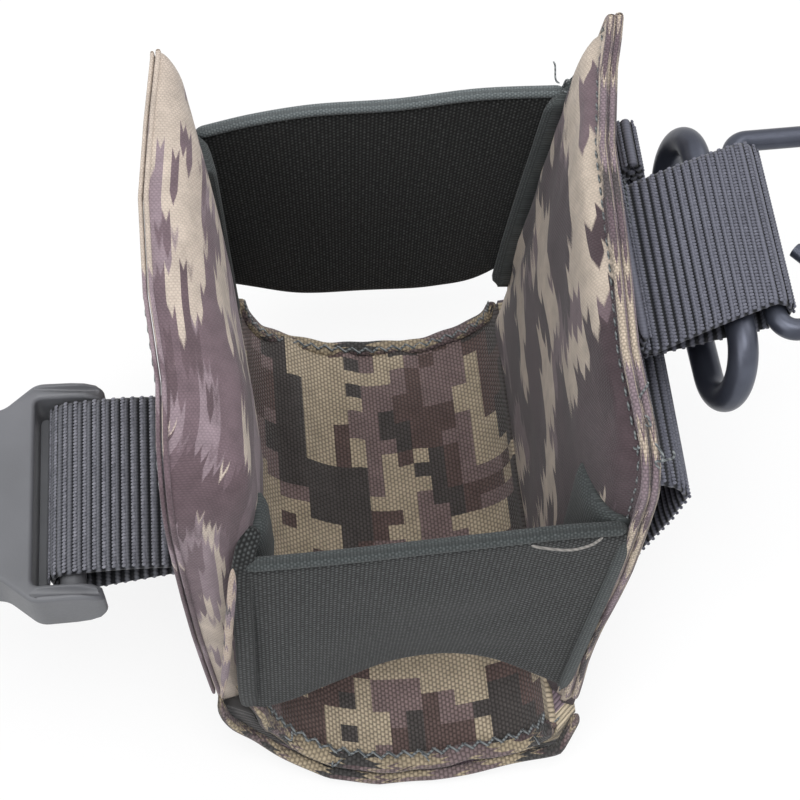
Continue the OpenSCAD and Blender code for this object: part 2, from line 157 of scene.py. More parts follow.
def brick_dots(tree, along, across, pitch, row):
    """The height of a plain weave, from 0 to 1: rounded yarn crowns in rows, each row half
    a crown on. pitch is a crown's length and row its width, in millimetres."""
    rows = add(tree, MATH, (across, row * MM), operation="DIVIDE")
    row_number = add(tree, MATH, (rows,), operation="FLOOR")
    half_step = add(tree, MATH, (row_number, math.pi / 2), operation="MULTIPLY")
    turn = add(tree, MATH, (along, math.pi / (pitch * MM), half_step), operation="MULTIPLY_ADD")
    across_turn = add(tree, MATH, (rows, math.pi), operation="MULTIPLY")
    length, width = (add(tree, MATH, (add(tree, MATH, (angle,), operation="SINE"),),
                         operation="ABSOLUTE") for angle in (turn, across_turn))
    dots = add(tree, MATH, (length, width), operation="MULTIPLY")
    return add(tree, MATH, (dots, 0.8), operation="POWER")


def flat_place(tree):
    """A point's place on the flat cloth, in metres: both ways, along it and across it."""
    cut = add(tree, "ShaderNodeUVMap", uv_map="cut")
    parts = add(tree, "ShaderNodeSeparateXYZ", (cut,)).node.outputs
    return cut, parts[0], parts[1]


def print_blocks(tree, streak):
    """Where the print's colour is looked up: in square cells, or with a streak in long
    columns (width, length of the teeth) that end in points, each a little on."""
    cut, along, across = flat_place(tree)
    if not streak:
        cell = PRINT_CELL * MM
        return add(tree, "ShaderNodeVectorMath", (cut, (cell, cell, cell)), operation="SNAP")
    width, teeth = streak[0] * MM, streak[1] * MM
    column = add(tree, MATH, (across, width), operation="DIVIDE")
    number = add(tree, MATH, (column,), operation="FLOOR")
    chance = add(tree, "ShaderNodeTexWhiteNoise", {"W": number}, noise_dimensions="1D")
    point = add(tree, MATH, (column, 0.5), operation="PINGPONG")
    on = add(tree, MATH, (point, POINT_SHARE, chance), operation="MULTIPLY_ADD")
    pointed = add(tree, MATH, (on, teeth, along), operation="MULTIPLY_ADD")
    edge = add(tree, MATH, (number, width), operation="MULTIPLY")
    return add(tree, "ShaderNodeCombineXYZ", (pointed, edge))


def camo_cloth(name, tints, amounts, seed, grain, depth, blob, stretch=(1.0, 1.4),
               weave=(0.74, 0.56), streak=None, drift=None):
    """Matt woven polyester with a printed four-colour block camouflage: tan under mauve,
    brown and dark. amounts are the thresholds of the upper three; grain is the strength of
    the weave's painted shade and highlight, darker between the yarn crowns and paler on
    them, and depth is the weave's height in millimetres. blob is a patch's size and
    stretch draws it out along the cloth. A drift (rate, middle, level) makes the tan
    grow with the way from a middle line. The weave is drawn somewhat coarser than the real
    yarns, so that it shows."""
    material, tree = blank_material(name)
    cut, along, across = flat_place(tree)
    block = print_blocks(tree, streak)
    speck = add(tree, "ShaderNodeTexWhiteNoise", (block,), noise_dimensions="3D")
    ragged = add(tree, MATH, (speck, 0.02 if streak else 0.05), operation="MULTIPLY")
    if drift:
        rate, middle, level = drift
        offset = add(tree, MATH, (along, middle), operation="SUBTRACT")
        way = add(tree, MATH, (offset,), operation="ABSOLUTE")
        on = add(tree, MATH, (way, -rate, level * rate), operation="MULTIPLY_ADD")
        ragged = add(tree, MATH, (ragged, on), operation="ADD")
    shade = colour(tints[0])
    for i, (tint, amount) in enumerate(zip(tints[1:], amounts)):
        # Each tint's cloud lies elsewhere in the same noise.
        moved = add(tree, "ShaderNodeMapping",
                    {"Location": (seed + 7.3 * i, 3.1 * i - seed, 0.0), "Vector": block,
                     "Scale": (1 / (blob * MM * stretch[0]), 1 / (blob * MM * stretch[1]), 1.0)})
        cloud = add(tree, "ShaderNodeTexNoise",
                    {"Vector": moved, "Scale": 1.0, "Detail": 2.0 if streak else 1.0,
                     "Roughness": 0.45}, noise_dimensions="2D")
        density = add(tree, MATH, (cloud, ragged), operation="ADD")
        over = add(tree, MATH, (density, amount), operation="GREATER_THAN")
        shade = add(tree, "ShaderNodeMix", {0: over, 6: shade, 7: colour(tint)}, 2, data_type="RGBA")
    crowns = brick_dots(tree, across, along, *weave)
    worn = add(tree, "ShaderNodeTexNoise",
               {"Vector": cut, "Scale": 0.35 / MM, "Detail": 4.0, "Roughness": 0.6},
               noise_dimensions="2D")
    # Painted shade and highlight of the weave: darker between the yarn crowns, paler on them.
    light = add(tree, "ShaderNodeMapRange", (crowns, 0.1, 0.85, 1.0 - grain, 1.0 + grain * 0.35))
    cloudy = add(tree, "ShaderNodeMapRange", (worn, 0.3, 0.7, 0.85, 1.1))
    lit = add(tree, MATH, (light, cloudy), operation="MULTIPLY")
    woven = add(tree, "ShaderNodeVectorMath", {0: shade, "Scale": lit}, operation="SCALE")
    finish_cloth(tree, woven, crowns, depth, roughness=0.78, sheen=0.15)
    return material


def finish_cloth(tree, shade, height, depth, roughness, sheen):
    """The shader of a dull textile: no clear gloss, a little sheen, and a woven surface."""
    bump = add(tree, "ShaderNodeBump", {"Strength": 0.8, "Distance": depth * MM, "Height": height})
    cloth = add(tree, "ShaderNodeBsdfPrincipled",
                {"Base Color": shade, "Normal": bump, "Roughness": roughness, "Sheen Weight": sheen,
                 "Sheen Roughness": 0.5, "Specular IOR Level": 0.25})
    add(tree, "ShaderNodeOutputMaterial", {"Surface": cloth})


def mesh_piece(name, points, faces, material, cut):
    """A smooth mesh. points are in millimetres; cut is each point's place on the flat
    cloth, also in millimetres."""
    mesh = bpy.data.meshes.new(name)
    mesh.from_pydata([tuple(float(c) * MM for c in p) for p in points], [], faces)
    corners = np.empty(len(mesh.loops), int)
    mesh.loops.foreach_get("vertex_index", corners)
    layer = mesh.uv_layers.new(name="cut")
    layer.data.foreach_set("uv", (np.asarray(cut, float)[corners] * MM).ravel())
    mesh.materials.append(material)
    return close_up(put(name, mesh))


def close_up(piece):
    """Merges doubles, turns the faces outwards and shades them smooth."""
    work = bmesh.new()
    work.from_mesh(piece.data)
    bmesh.ops.remove_doubles(work, verts=work.verts, dist=0.00001)
    bmesh.ops.dissolve_degenerate(work, edges=work.edges, dist=0.000005)
    bmesh.ops.recalc_face_normals(work, faces=work.faces)
    work.to_mesh(piece.data)
    work.free()
    piece.data.polygons.foreach_set("use_smooth", [True] * len(piece.data.polygons))
    return piece


def shell(name, one, other, material, cut_start=(0.0, 0.0), cut=None):
    """A closed piece between two grids of points that have the same shape. cut is each
    point's place on the flat cloth; without it the rows and columns are laid straight."""
    rows, columns = one.shape[:2]
    count = rows * columns
    points = np.concatenate([one.reshape(-1, 3), other.reshape(-1, 3)])
    at = np.arange(count).reshape(rows, columns).tolist()
    faces = []
    for row, following in zip(at, at[1:]):
        for a, b, c, d in zip(row, following, following[1:], row[1:]):
            faces.append((a, b, c, d))
            faces.append((d + count, c + count, b + count, a + count))
    right = [row[-1] for row in at]
    left = [row[0] for row in at]
    rim = at[0][:-1] + right[:-1] + at[-1][:0:-1] + left[:0:-1]
    faces += [(a, b, b + count, a + count) for a, b in zip(rim, rim[1:] + rim[:1])]
    if cut is None:
        down = np.linalg.norm(np.diff(one, axis=0), axis=2).mean(axis=1)
        along = np.linalg.norm(np.diff(one, axis=1), axis=2).mean(axis=0)
        cut = np.stack(np.meshgrid(np.concatenate([[0], np.cumsum(along)]) + cut_start[0],
                                   np.concatenate([[0], np.cumsum(down)]) + cut_start[1]), axis=2)
    cut = cut.reshape(-1, 2)
    return mesh_piece(name, points, faces, material, np.concatenate([cut, cut]))


def ripple(points, size, height, seed=0.0):
    """Small uneven waves of soft cloth: a height in millimetres for each point."""
    waves = [noise.noise(Vector((x / size + seed, y / size, z / size - seed)))
             for x, y, z in points.reshape(-1, 3)]
    return height * np.array(waves).reshape(points.shape[:-1])


def bezier(p0, p1, p2, p3, count):
    t = np.linspace(0, 1, count)[:, None]
    p0, p1, p2, p3 = (np.array(p, float) for p in (p0, p1, p2, p3))
    return (1 - t) ** 3 * p0 + 3 * (1 - t) ** 2 * t * p1 + 3 * (1 - t) * t ** 2 * p2 + t ** 3 * p3


def trough(left_end, right_end, bottom, count=40):
    """A curve across the pouch, from the left wall down round the floor to the right one."""
    left = bezier(left_end, (left_end[0] + 0.8, left_end[1] - 9.5),
                  (-16.5, bottom), (-2.0, bottom), count)
    right = bezier((-2.0, bottom), (12.5, bottom),
                   (right_end[0] - 0.7, right_end[1] - 7.5), right_end, count)
    return np.concatenate([left, right[1:]])


def front_end(x):
    """Where the floor's front end lies: it noses forward between the walls."""
    return np.interp(x, (-28, -26.5, -20.6, -16.5, -12.4, -5.2, 2.1, 12.2, 20.4, 23.5),
                     (-29.6, -31.2, -33.5, -35.3, -37.0, -38.3, -38.4, -37.8, -37.4, -34.0))


def back_end(x):
    """Where the floor's back end lies: it draws in a little between the walls."""
    return np.interp(x, (-27, -18.4, -12.3, -2.5, 7.4, 12.3, 18.4, 23),
                     (35.8, 35.8, 35.2, 33.8, 34.0, 34.8, 35.4, 36.0))


def floor_surface(curve, rows, front_in, back_in, sag):
    """The curve laid from the front end to the back end; sag lifts the cloth in soft waves
    and in three long creases of (x, width, height)."""
    t = np.linspace(0, 1, rows)[:, None]
    x, z = curve[:, 0][None, :], curve[:, 1][None, :]
    y = (front_end(x) + front_in) * (1 - t) + (back_end(x) - back_in) * t
    grid = np.stack([x + 0 * y, y, z + 0 * y], axis=2)
    grid[..., 2] += sag * (ripple(grid, 16.0, 1.0) + 0.5 * ripple(grid, 6.0, 1.0, 4.0))
    for place, width, height in ((-12.5, 2.6, 1.4), (-3.5, 1.8, 0.9), (5.5, 2.2, 0.8)):
        crease = np.exp(-((x - place + y * 0.06) / width) ** 2) * np.clip((y + 14) / 30, 0, 1)
        grid[..., 2] += sag * height * 2 * crease
    return grid


def belongs(piece, body, slot, *nodes):
    """Ties a piece to its body and hides the CAD nodes it stands for. slot is not used."""
    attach(piece, body)
    if nodes:
        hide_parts(*nodes)


floor_print = camo_cloth("printed_oxford_floor", ("#b9aa93", "#83716f", "#64534f", "#4f4a48"),
                         amounts=(0.55, 0.60, 0.61), seed=18.61, grain=0.5, depth=0.25, blob=10.0)
cover_print = camo_cloth("printed_oxford_cover", ("#bcae96", "#82727a", "#62535a", "#4c4a49"),
                         amounts=(0.54, 0.60, 0.63), seed=5.0, grain=0.45, depth=0.22, blob=12.0)

outer_curve = trough(LEFT_SEAM[[0, 2]], RIGHT_SEAM[[0, 2]], 0.35)
middle_curve = trough(LEFT_SEAM[[0, 2]] + (4.3, 0.2), RIGHT_SEAM[[0, 2]] + (-3.0, 0.2), 1.5)
inner_curve = trough(LEFT_SEAM[[0, 2]] + (5.4, 0.3), RIGHT_SEAM[[0, 2]] + (-3.9, 0.3), 2.7)

cover = shell("floor_cover", floor_surface(outer_curve, 60, 0.3, 0.2, 0.0),
              floor_surface(middle_curve, 60, 0.3, 0.2, 0.0), cover_print)
belongs(cover, "pouch", "camo_cloth", "base_cover")

lining = shell("floor_lining_cloth", floor_surface(inner_curve, 90, 1.0, 0.8, 0.55),
               floor_surface(middle_curve + (0, 0.05), 90, 1.0, 0.8, 0.1), floor_print, (31.0, 12.0))
belongs(lining, "pouch", "lining_cloth", "floor_lining")


# ---- Rolled hems of the floor ------------------------------------------------------------
# Each end of the floor is rolled over and sewn down with a loose grey zigzag; at the front
# the cover makes a second roll of its own just outside the first.
def sweep(name, path, ups, profile, material, taper=0, turned=False):
    """A closed profile, (side, up) in millimetres, swept along a path of points. taper is
    the number of steps over which each end thins; turned lays the cloth's own length
    across the path."""
    path, ups = np.asarray(path, float), np.asarray(ups, float)
    along = unit(np.gradient(path, axis=0))
    side = unit(np.cross(along, ups))
    up = np.cross(side, along)
    count, ring = len(path), len(profile)
    size = np.ones(count)
    if taper:
        ends = np.minimum(np.arange(count), np.arange(count)[::-1])
        size = np.sqrt(1 - (1 - np.clip((ends + 0.15) / taper, 0, 1)) ** 2)
    points = [path[i] + size[i] * (s * side[i] + u * up[i]) for i in range(count) for s, u in profile]
    faces = [(i * ring + j, i * ring + (j + 1) % ring, (i + 1) * ring + (j + 1) % ring,
              (i + 1) * ring + j) for i in range(count - 1) for j in range(ring)]
    faces += [tuple(range(ring)), tuple(range((count - 1) * ring, count * ring))]
    steps, girth = ways_along(path), ways_along(profile)
    cut = [(girth[j], steps[i]) if turned else (steps[i], girth[j])
           for i in range(count) for j in range(ring)]
    return mesh_piece(name, points, faces, material, cut)


def unit(vectors):
    """The same directions, each one long."""
    return vectors / np.maximum(np.linalg.norm(vectors, axis=-1, keepdims=True), 1e-12)


def ways_along(line):
    """How far along a line of points each one lies."""
    return np.concatenate([[0], np.cumsum(np.linalg.norm(np.diff(np.array(line), axis=0), axis=1))])


def oval(half_side, half_up, count=14, power=2.0):
    """A rounded profile; a power above 2 makes it flatter and squarer."""
    turns = [2 * math.pi * k / count for k in range(count)]
    return [(half_side * math.copysign(abs(math.cos(a)) ** (2 / power), math.cos(a)),
             half_up * math.copysign(abs(math.sin(a)) ** (2 / power), math.sin(a))) for a in turns]


def thread_rows_tree():
    """Rows of small raised threads along a path of edges, which carries its own up and
    side vectors: stitches, or the floats of woven webbing."""
    tree = bpy.data.node_groups.new("thread_rows", "GeometryNodeTree")
    for name, kind in (("Path", "Geometry"), ("Pitch", "Float"), ("Across", "Int"),
                       ("Spacing", "Float"), ("Thread Length", "Float"), ("Thread Width", "Float"),
                       ("Thread Height", "Float"), ("Lift", "Float"), ("Turn", "Float"),
                       ("Slant", "Float"), ("Finish", "Material")):
        tree.interface.new_socket(name, in_out="INPUT", socket_type="NodeSocket" + kind)
    tree.interface.new_socket("Threads", in_out="OUTPUT", socket_type="NodeSocketGeometry")
    given = add(tree, "NodeGroupInput").node.outputs
    curve = add(tree, "GeometryNodeMeshToCurve", (given["Path"],))
    steps = add(tree, "GeometryNodeResampleCurve", {"Curve": curve, "Length": given["Pitch"]},
                mode="LENGTH")
    up, side = (add(tree, "GeometryNodeInputNamedAttribute", {"Name": label},
                    data_type="FLOAT_VECTOR") for label in ("up", "side"))
    upright = add(tree, "FunctionNodeAxesToRotation", (up, side), primary_axis="Z",
                  secondary_axis="Y")
    odd = add(tree, MATH, (add(tree, "GeometryNodeInputIndex"), 2.0), operation="MODULO")
    swing = add(tree, MATH, (odd, 2.0, -1.0), operation="MULTIPLY_ADD")
    zigzag = add(tree, MATH, (swing, given["Turn"]), operation="MULTIPLY")
    zigzag_turn = add(tree, "FunctionNodeEulerToRotation",
                      (add(tree, "ShaderNodeCombineXYZ", {2: zigzag}),))
    laid = add(tree, "FunctionNodeRotateRotation", (upright, zigzag_turn), rotation_space="LOCAL")
    offset = add(tree, "ShaderNodeCombineXYZ", {2: given["Lift"]})
    moved = add(tree, "FunctionNodeRotateVector", (offset, upright))
    placed = add(tree, "GeometryNodeSetPosition", {"Geometry": steps, "Offset": moved})
    bead = add(tree, "GeometryNodeMeshUVSphere", {"Segments": 7, "Rings": 4, "Radius": 0.5})
    size = add(tree, "ShaderNodeCombineXYZ",
               (given["Thread Length"], given["Thread Width"], given["Thread Height"]))
    skewed = add(tree, "ShaderNodeCombineXYZ", {2: given["Slant"]})
    thread = add(tree, "GeometryNodeTransform", {"Geometry": bead, "Scale": size, "Rotation": skewed})
    gaps = add(tree, MATH, (given["Across"], 1.0), operation="SUBTRACT")
    span = add(tree, MATH, (gaps, given["Spacing"]), operation="MULTIPLY")
    first = add(tree, MATH, (span, -0.5), operation="MULTIPLY")
    line = add(tree, "GeometryNodeMeshLine",
               {"Count": given["Across"], "Start Location": add(tree, "ShaderNodeCombineXYZ", {1: first}),
                "Offset": add(tree, "ShaderNodeCombineXYZ", {1: given["Spacing"]})})
    row = add(tree, "GeometryNodeInstanceOnPoints", {"Points": line, "Instance": thread})
    rows = add(tree, "GeometryNodeInstanceOnPoints",
               {"Points": placed, "Instance": row, "Rotation": laid})
    smooth = add(tree, "GeometryNodeSetShadeSmooth",
                 (add(tree, "GeometryNodeRealizeInstances", (rows,)),))
    dressed = add(tree, "GeometryNodeSetMaterial", {"Geometry": smooth, "Material": given["Finish"]})
    add(tree, "NodeGroupOutput", (dressed,))
    return tree


THREAD_ROWS = thread_rows_tree()


def threads(name, paths, material, pitch, length, width, height, across=1, spacing=1.0,
            lift=0.0, turn=0.0, side_axis=None, slant=0.0):
    """Runs the thread rows along paths of (points, ups), all in millimetres, and returns
    one plain mesh. The rows lie along side_axis, or square to the path."""
    points, edges, ups, sides = [], [], [], []
    for path, path_ups in paths:
        first = len(points)
        path, path_ups = np.asarray(path, float), np.asarray(path_ups, float)
        square = np.cross(path_ups, np.gradient(path, axis=0))
        if side_axis is not None:
            square = np.sign(square @ np.array(side_axis))[:, None] * np.array(side_axis)
        points += (path * MM).tolist()
        ups += path_ups.tolist()
        sides += square.tolist()
        edges += [(first + i, first + i + 1) for i in range(len(path) - 1)]
    mesh = bpy.data.meshes.new(name + "_path")
    mesh.from_pydata(points, edges, [])
    for label, vectors in (("up", ups), ("side", sides)):
        layer = mesh.attributes.new(label, "FLOAT_VECTOR", "POINT")
        layer.data.foreach_set("vector", unit(np.array(vectors, float)).ravel())
    guide = put(name + "_path", mesh)
    modifier = guide.modifiers.new("rows", "NODES")
    modifier.node_group = THREAD_ROWS
    sockets = {item.name: item.identifier for item in THREAD_ROWS.interface.items_tree
               if item.in_out == "INPUT"}
    for label, value in (("Pitch", pitch * MM), ("Across", across), ("Spacing", spacing * MM),
                         ("Thread Length", length * MM), ("Thread Width", width * MM),
                         ("Thread Height", height * MM), ("Lift", lift * MM), ("Turn", turn),
                         ("Slant", slant), ("Finish", material)):
        modifier[sockets[label]] = value
    return put(name, as_plain_mesh(guide, name))


def as_plain_mesh(holder, name):
    """The finished mesh of a helper object, which is then removed."""
    bpy.context.view_layer.update()
    ready = holder.evaluated_get(bpy.context.evaluated_depsgraph_get())
    mesh = bpy.data.meshes.new_from_object(ready)
    mesh.name = name
    bpy.data.objects.remove(holder)
    return mesh


def plain_thread(name, light, dark):
    """Twisted polyester sewing thread: a fine slanted twist, about 0.45 mm from turn to turn,
    which is drawn coarser than the real one so that it shows. The colour follows the twist's
    height: darker in the grooves between the plies, which is painted shade, and lighter on
    the plies."""
    material, tree = blank_material(name)
    place = add(tree, "ShaderNodeTexCoord", out="Object")
    twist = add(tree, "ShaderNodeTexWave",
                {"Vector": place, "Scale": 0.32 / (0.45 * MM), "Distortion": 1.5}, 1,
                bands_direction="DIAGONAL")
    # Painted shade in the twist's grooves.
    tone = add(tree, "ShaderNodeMix", {0: twist, 6: colour(dark), 7: colour(light)}, 2,
               data_type="RGBA")
    finish_cloth(tree, tone, twist, depth=0.06, roughness=0.6, sheen=0.1)
    return material


grey_thread = plain_thread("polyester_thread_grey", "#85898a", "#45494b")
pale_thread = plain_thread("polyester_thread_pale", "#8f8b86", "#716e6a")


def floor_ups(path):
    """Up vectors square to the floor's curve along a hem."""
    ups = unit(np.cross(np.gradient(path, axis=0), (0.0, 1.0, 0.0)))
    return np.where(ups[:, 2:3] < 0, -ups, ups)


def unsteady(path, back_wave, up_wave):
    """A hem's line that wavers, by waves of (size, height, seed) along y and along z."""
    return path + np.stack([0 * path[:, 0], ripple(path, *back_wave), ripple(path, *up_wave)], axis=1)


hem_print = camo_cloth("printed_oxford_hem", ("#9f917a", "#736464", "#594b4c", "#434140"),
                       amounts=(0.50, 0.56, 0.58), seed=9.0, grain=0.45, depth=0.18, blob=5.0,
                       stretch=(1.3, 0.8), weave=(0.87, 0.62), streak=(0.8, 2.5))
up_the_wall = np.array([(-24.6, -29.4, 19.6), (-23.8, -29.5, 18.4)])
front_path, back_path = floor_surface(inner_curve, 2, 1.3, 0.9, 0.0)
front_path = np.concatenate([up_the_wall, front_path + (0, 0, 0.25)])
back_path = back_path + (0, 0, 0.15)
cover_path = floor_surface(outer_curve, 2, -0.5, 0.0, 0.0)[0] + (0, 0, 0.95)
cover_path = np.concatenate([up_the_wall[1:] + (-3.2, -0.3, -0.6), cover_path])
for name, path, profile, slot, nodes in (
        ("front_hem_roll", unsteady(front_path, (5.0, 0.7), (4.0, 0.45, 2.0)),
         oval(1.3, 0.8, 14, 2.6), "lining_cloth", ["front_hem"]),
        ("back_hem_roll", unsteady(back_path, (5.0, 0.7), (4.0, 0.45, 2.0)),
         oval(1.25, 0.95, 14, 2.6), "lining_cloth", ["back_hem"]),
        ("front_cover_roll", unsteady(cover_path, (7.0, 0.5, 1.0), (5.0, 0.3, 6.0)),
         oval(0.85, 0.6, 12, 2.4), "camo_cloth", [])):
    hem = sweep(name, path, floor_ups(path), profile, hem_print, taper=3)
    belongs(hem, "pouch", slot, *nodes)

front_line = front_path + floor_ups(front_path) * 0.95 + (0, 0.9, 0)
back_line = back_path + floor_ups(back_path) * 0.9 + (0, -0.5, 0)
zigzag = threads("floor_hem_stitches",
                 [(front_line, floor_ups(front_path)), (back_line, floor_ups(back_path))],
                 grey_thread, pitch=1.1, length=2.3, width=0.42, height=0.42, turn=0.62)
belongs(zigzag, "pouch", "thread")


# ---- Left wall ---------------------------------------------------------------------------
# A thick padded side: the lining is stuffed with foam and wraps over the top and the front
# to a seam with the outer panel, so the edge is round and the seam lies outside.
LEFT_LEAN = math.radians(3.5)
LEFT_HEIGHT = 58.15
SIMULATED_FRAMES = 20


def on_left(v, y, depth):
    """A point of the left wall: v up the outer face, y along it, depth into the pouch."""
    sway = np.interp(y, (-30, -12, 0, 14, 26, 36), (1.2, 1.4, 0.1, -0.3, 0.6, 1.6))
    x = (LEFT_SEAM[0] + depth * math.cos(LEFT_LEAN) - v * math.sin(LEFT_LEAN)
         + sway * (np.clip(v, 0, None) / LEFT_HEIGHT) ** 2)
    z = LEFT_SEAM[2] + depth * math.sin(LEFT_LEAN) + v * math.cos(LEFT_LEAN)
    return np.stack(np.broadcast_arrays(x, y, z), axis=-1)


def corner_cut(v, height, radius):
    """How far a rounded upper corner draws an edge in."""
    return radius * (1 - np.sqrt(1 - np.clip((v - height + radius) / radius, 0, 0.999) ** 2))


def left_front(v):
    edge = np.interp(v, (0, 24, 34, 46, 58.2), (-30.3, -30.2, -29.6, -28.4, -26.4))
    return edge + corner_cut(v, LEFT_HEIGHT, 9.0)


def left_back(v):
    return np.interp(v, (0, 58.2), (36.0, 37.8)) - corner_cut(v, LEFT_HEIGHT, 1.6)


LEFT_EDGES = (left_front, left_back, LEFT_HEIGHT)


def ways_in(v, y, front, back, height):
    """How far a point of a wall lies from its front, back and top edges."""
    return np.broadcast_arrays(y - front(v), back(v) - y, height - v)


def rounded(distance, radius):
    """0 at an edge, rising in a quarter circle to 1 at one radius from it."""
    return np.sqrt(1 - (1 - np.clip(distance / radius, 0, 1)) ** 2)


def spaced(count, ends=0.6):
    """Steps from 0 to 1 that are closer together at both ends."""
    t = np.linspace(0, 1, count)
    return (1 - ends) * t + ends * (0.5 - 0.5 * np.cos(math.pi * t))


def left_thickness(y, v):
    """The padding is thickest in front and thin at the back corner."""
    crown = np.interp(y, (-29, -20, -10, 0, 10, 20, 28, 37), (8.6, 9.3, 9.8, 9.2, 8.2, 6.8, 5.2, 3.0))
    rise = np.interp(v, (0, 12, 32, 50, 58.2), (0.0, 0.35, 1.0, 1.0, 0.75))
    base = np.interp(y, (-30, 20, 37), (5.4, 5.2, 3.6))
    return base * (1 - rise) + crown * rise


def wall_cut(inner, y, below, behind):
    """A wall lining's flat place. The cloth is drawn over the upper and front edges, so
    the print runs along them; below and behind are the ways from those edges."""
    rise = np.linalg.norm(np.diff(inner, axis=0), axis=2)
    climb = np.concatenate([0 * rise[:1], np.cumsum(rise, axis=0)])
    climb = climb[-1:] - climb
    front = np.exp(-(behind / 9.0) ** 2)
    into = behind + behind ** 2 / 6 + 0.01 + (climb - below).clip(0) * front
    across = 1 / (1 / (climb + 0.01) ** 3 + 1 / into ** 3) ** (1 / 3)
    return np.stack([y + 60.0 - below * front, across], axis=2)


def wall_sheet(front, back, height, rows=64, columns=72):
    """Rows up a wall and columns along it, closer together near its edges."""
    v = (spaced(rows) * height)[:, None]
    a = spaced(columns)[None, :]
    return np.broadcast_arrays(v, front(v) * (1 - a) + back(v) * a)


def puff_up(piece, pressure, cap, pinned, near):
    """Fills a padded piece like a cushion: cloth held along its seams is blown up, and no
    point may move further than the cap. All sizes are in millimetres."""
    rest = np.array([tuple(p.co) for p in piece.data.vertices])
    group = piece.vertex_groups.new(name="seams")
    group.add([i for i, p in enumerate(rest) if pinned(p / MM, near)], 1.0, "REPLACE")
    cloth = piece.modifiers.new("fill", "CLOTH")
    cloth.settings.vertex_group_mass = "seams"
    cloth.settings.use_pressure = True
    cloth.settings.uniform_pressure_force = pressure
    cloth.settings.effector_weights.gravity = 0.0
    cloth.settings.quality = 5
    cloth.settings.mass = 0.15
    cloth.settings.tension_stiffness = 30
    cloth.settings.compression_stiffness = 30
    cloth.settings.bending_stiffness = 1.0
    cloth.point_cache.frame_start = 1
    cloth.point_cache.frame_end = SIMULATED_FRAMES
    for frame_number in range(1, SIMULATED_FRAMES + 1):
        scene.frame_set(frame_number)
    ready = piece.evaluated_get(bpy.context.evaluated_depsgraph_get())
    move = np.array([tuple(p.co) for p in ready.data.vertices]) - rest
    far = np.linalg.norm(move, axis=1, keepdims=True)
    move *= np.minimum(1.0, cap * MM / np.maximum(far, 1e-9))
    piece.modifiers.remove(cloth)
    piece.vertex_groups.remove(group)
    piece.data.vertices.foreach_set("co", (rest + move).ravel())
    piece.data.update()
    scene.frame_set(1)


def left_pinned(p, near):
    height = (p[2] - LEFT_SEAM[2]) / math.cos(LEFT_LEAN)
    depth = p[0] - LEFT_SEAM[0] + height * math.sin(LEFT_LEAN)
    return depth < 1.2 or height < near or depth < 3 and (
        p[1] < left_front(height) + near or p[1] > left_back(height) - near)


def wall_edge(on_wall, edges, inset, depth, count=150):
    """Points and up vectors along a wall's front, top and back edges."""
    front, back, height = edges
    top = height - inset
    rise = np.sin(np.linspace(0.02, 1, count) * math.pi / 2) * top
    below = np.minimum(rise, top - 0.02)
    up_front, down_back = front(below) + inset, back(below[::-1]) - inset
    over = np.linspace(up_front[-1], down_back[0], count + 2)[1:-1]
    v = np.concatenate([rise, np.full(count, top), rise[::-1]])
    y = np.concatenate([up_front, over, down_back])
    points = on_wall(v, y, depth)
    return points, on_wall(v, y, depth + 1.0) - points


def turned_edges(on_wall, edges, finish, body, rolls):
    """Rolls of cloth round a wall's edge, from rows of (name, inset, depth, profile)."""
    for name, inset, depth, profile in rolls:
        path, ups = wall_edge(on_wall, edges, inset, depth)
        belongs(sweep(name, path, ups, profile, finish, taper=3), body, "camo_cloth")


left_wall_print = camo_cloth("printed_oxford_left_wall", ("#bdafa2", "#8a7a80", "#6d5c62", "#5f4f54"),
                             amounts=(0.53, 0.56, 0.61), seed=48.6, grain=0.16, depth=0.08, blob=5.0,
                             stretch=(4.4, 0.95), weave=(0.55, 0.4), streak=(1.0, 3.6),
                             drift=(2.8, 0.035, 0.028))
v, y = wall_sheet(*LEFT_EDGES)
from_front, from_back, from_top = ways_in(v, y, *LEFT_EDGES)
puff = rounded(from_front, 5.0) * rounded(from_back, 3.5) * rounded(from_top, 6.0)
depth_in = left_thickness(y, v) * puff
edge_pull = np.exp(-np.minimum(np.minimum(from_front, from_back), from_top) / 4.0)
inner = on_left(v, y, depth_in)
inner[..., 0] += ripple(inner, 14.0, 0.7) * puff + ripple(inner, 3.2, 0.35, 3.0) * edge_pull * puff
outer = on_left(v, y, -0.55 * puff ** 0.5)
outer[..., 0] += ripple(outer, 18.0, 0.35, 8.0) * puff
left_pad = shell("left_wall_pad", inner, outer, left_wall_print,
                 cut=wall_cut(inner, y, from_top, from_front + depth_in * 0.8))
puff_up(left_pad, pressure=4.0, cap=0.9, pinned=left_pinned, near=2.0)
belongs(left_pad, "left_wall", "lining_cloth", "left_inner_panel", "left_padding",
        "left_outer_panel")

turned_edges(on_left, LEFT_EDGES, left_wall_print, "left_wall",
             (("left_wall_seam_lip", 0.5, 0.15, oval(0.7, 0.36, 12, 3.0)),
              ("left_wall_cover_fold", 0.7, -0.65, oval(0.7, 0.28, 12, 3.0))))
seam_path, seam_ups = wall_edge(on_left, LEFT_EDGES, inset=1.7, depth=-0.95)
left_stitches = threads("left_wall_seam_stitches", [(seam_path, -seam_ups)], grey_thread,
                        pitch=2.3, length=1.7, width=0.38, height=0.3)
belongs(left_stitches, "left_wall", "thread")


# ---- Right wall --------------------------------------------------------------------------
# A thinner padded side whose edges are turned in and sewn flat with a row of stitches. It
# has softened and leans in a little over the pouch, with its back corner out, and the
# stretched front band draws its front edge in.
RIGHT_LEAN = math.radians(6.0)
RIGHT_HEIGHT = 62.70


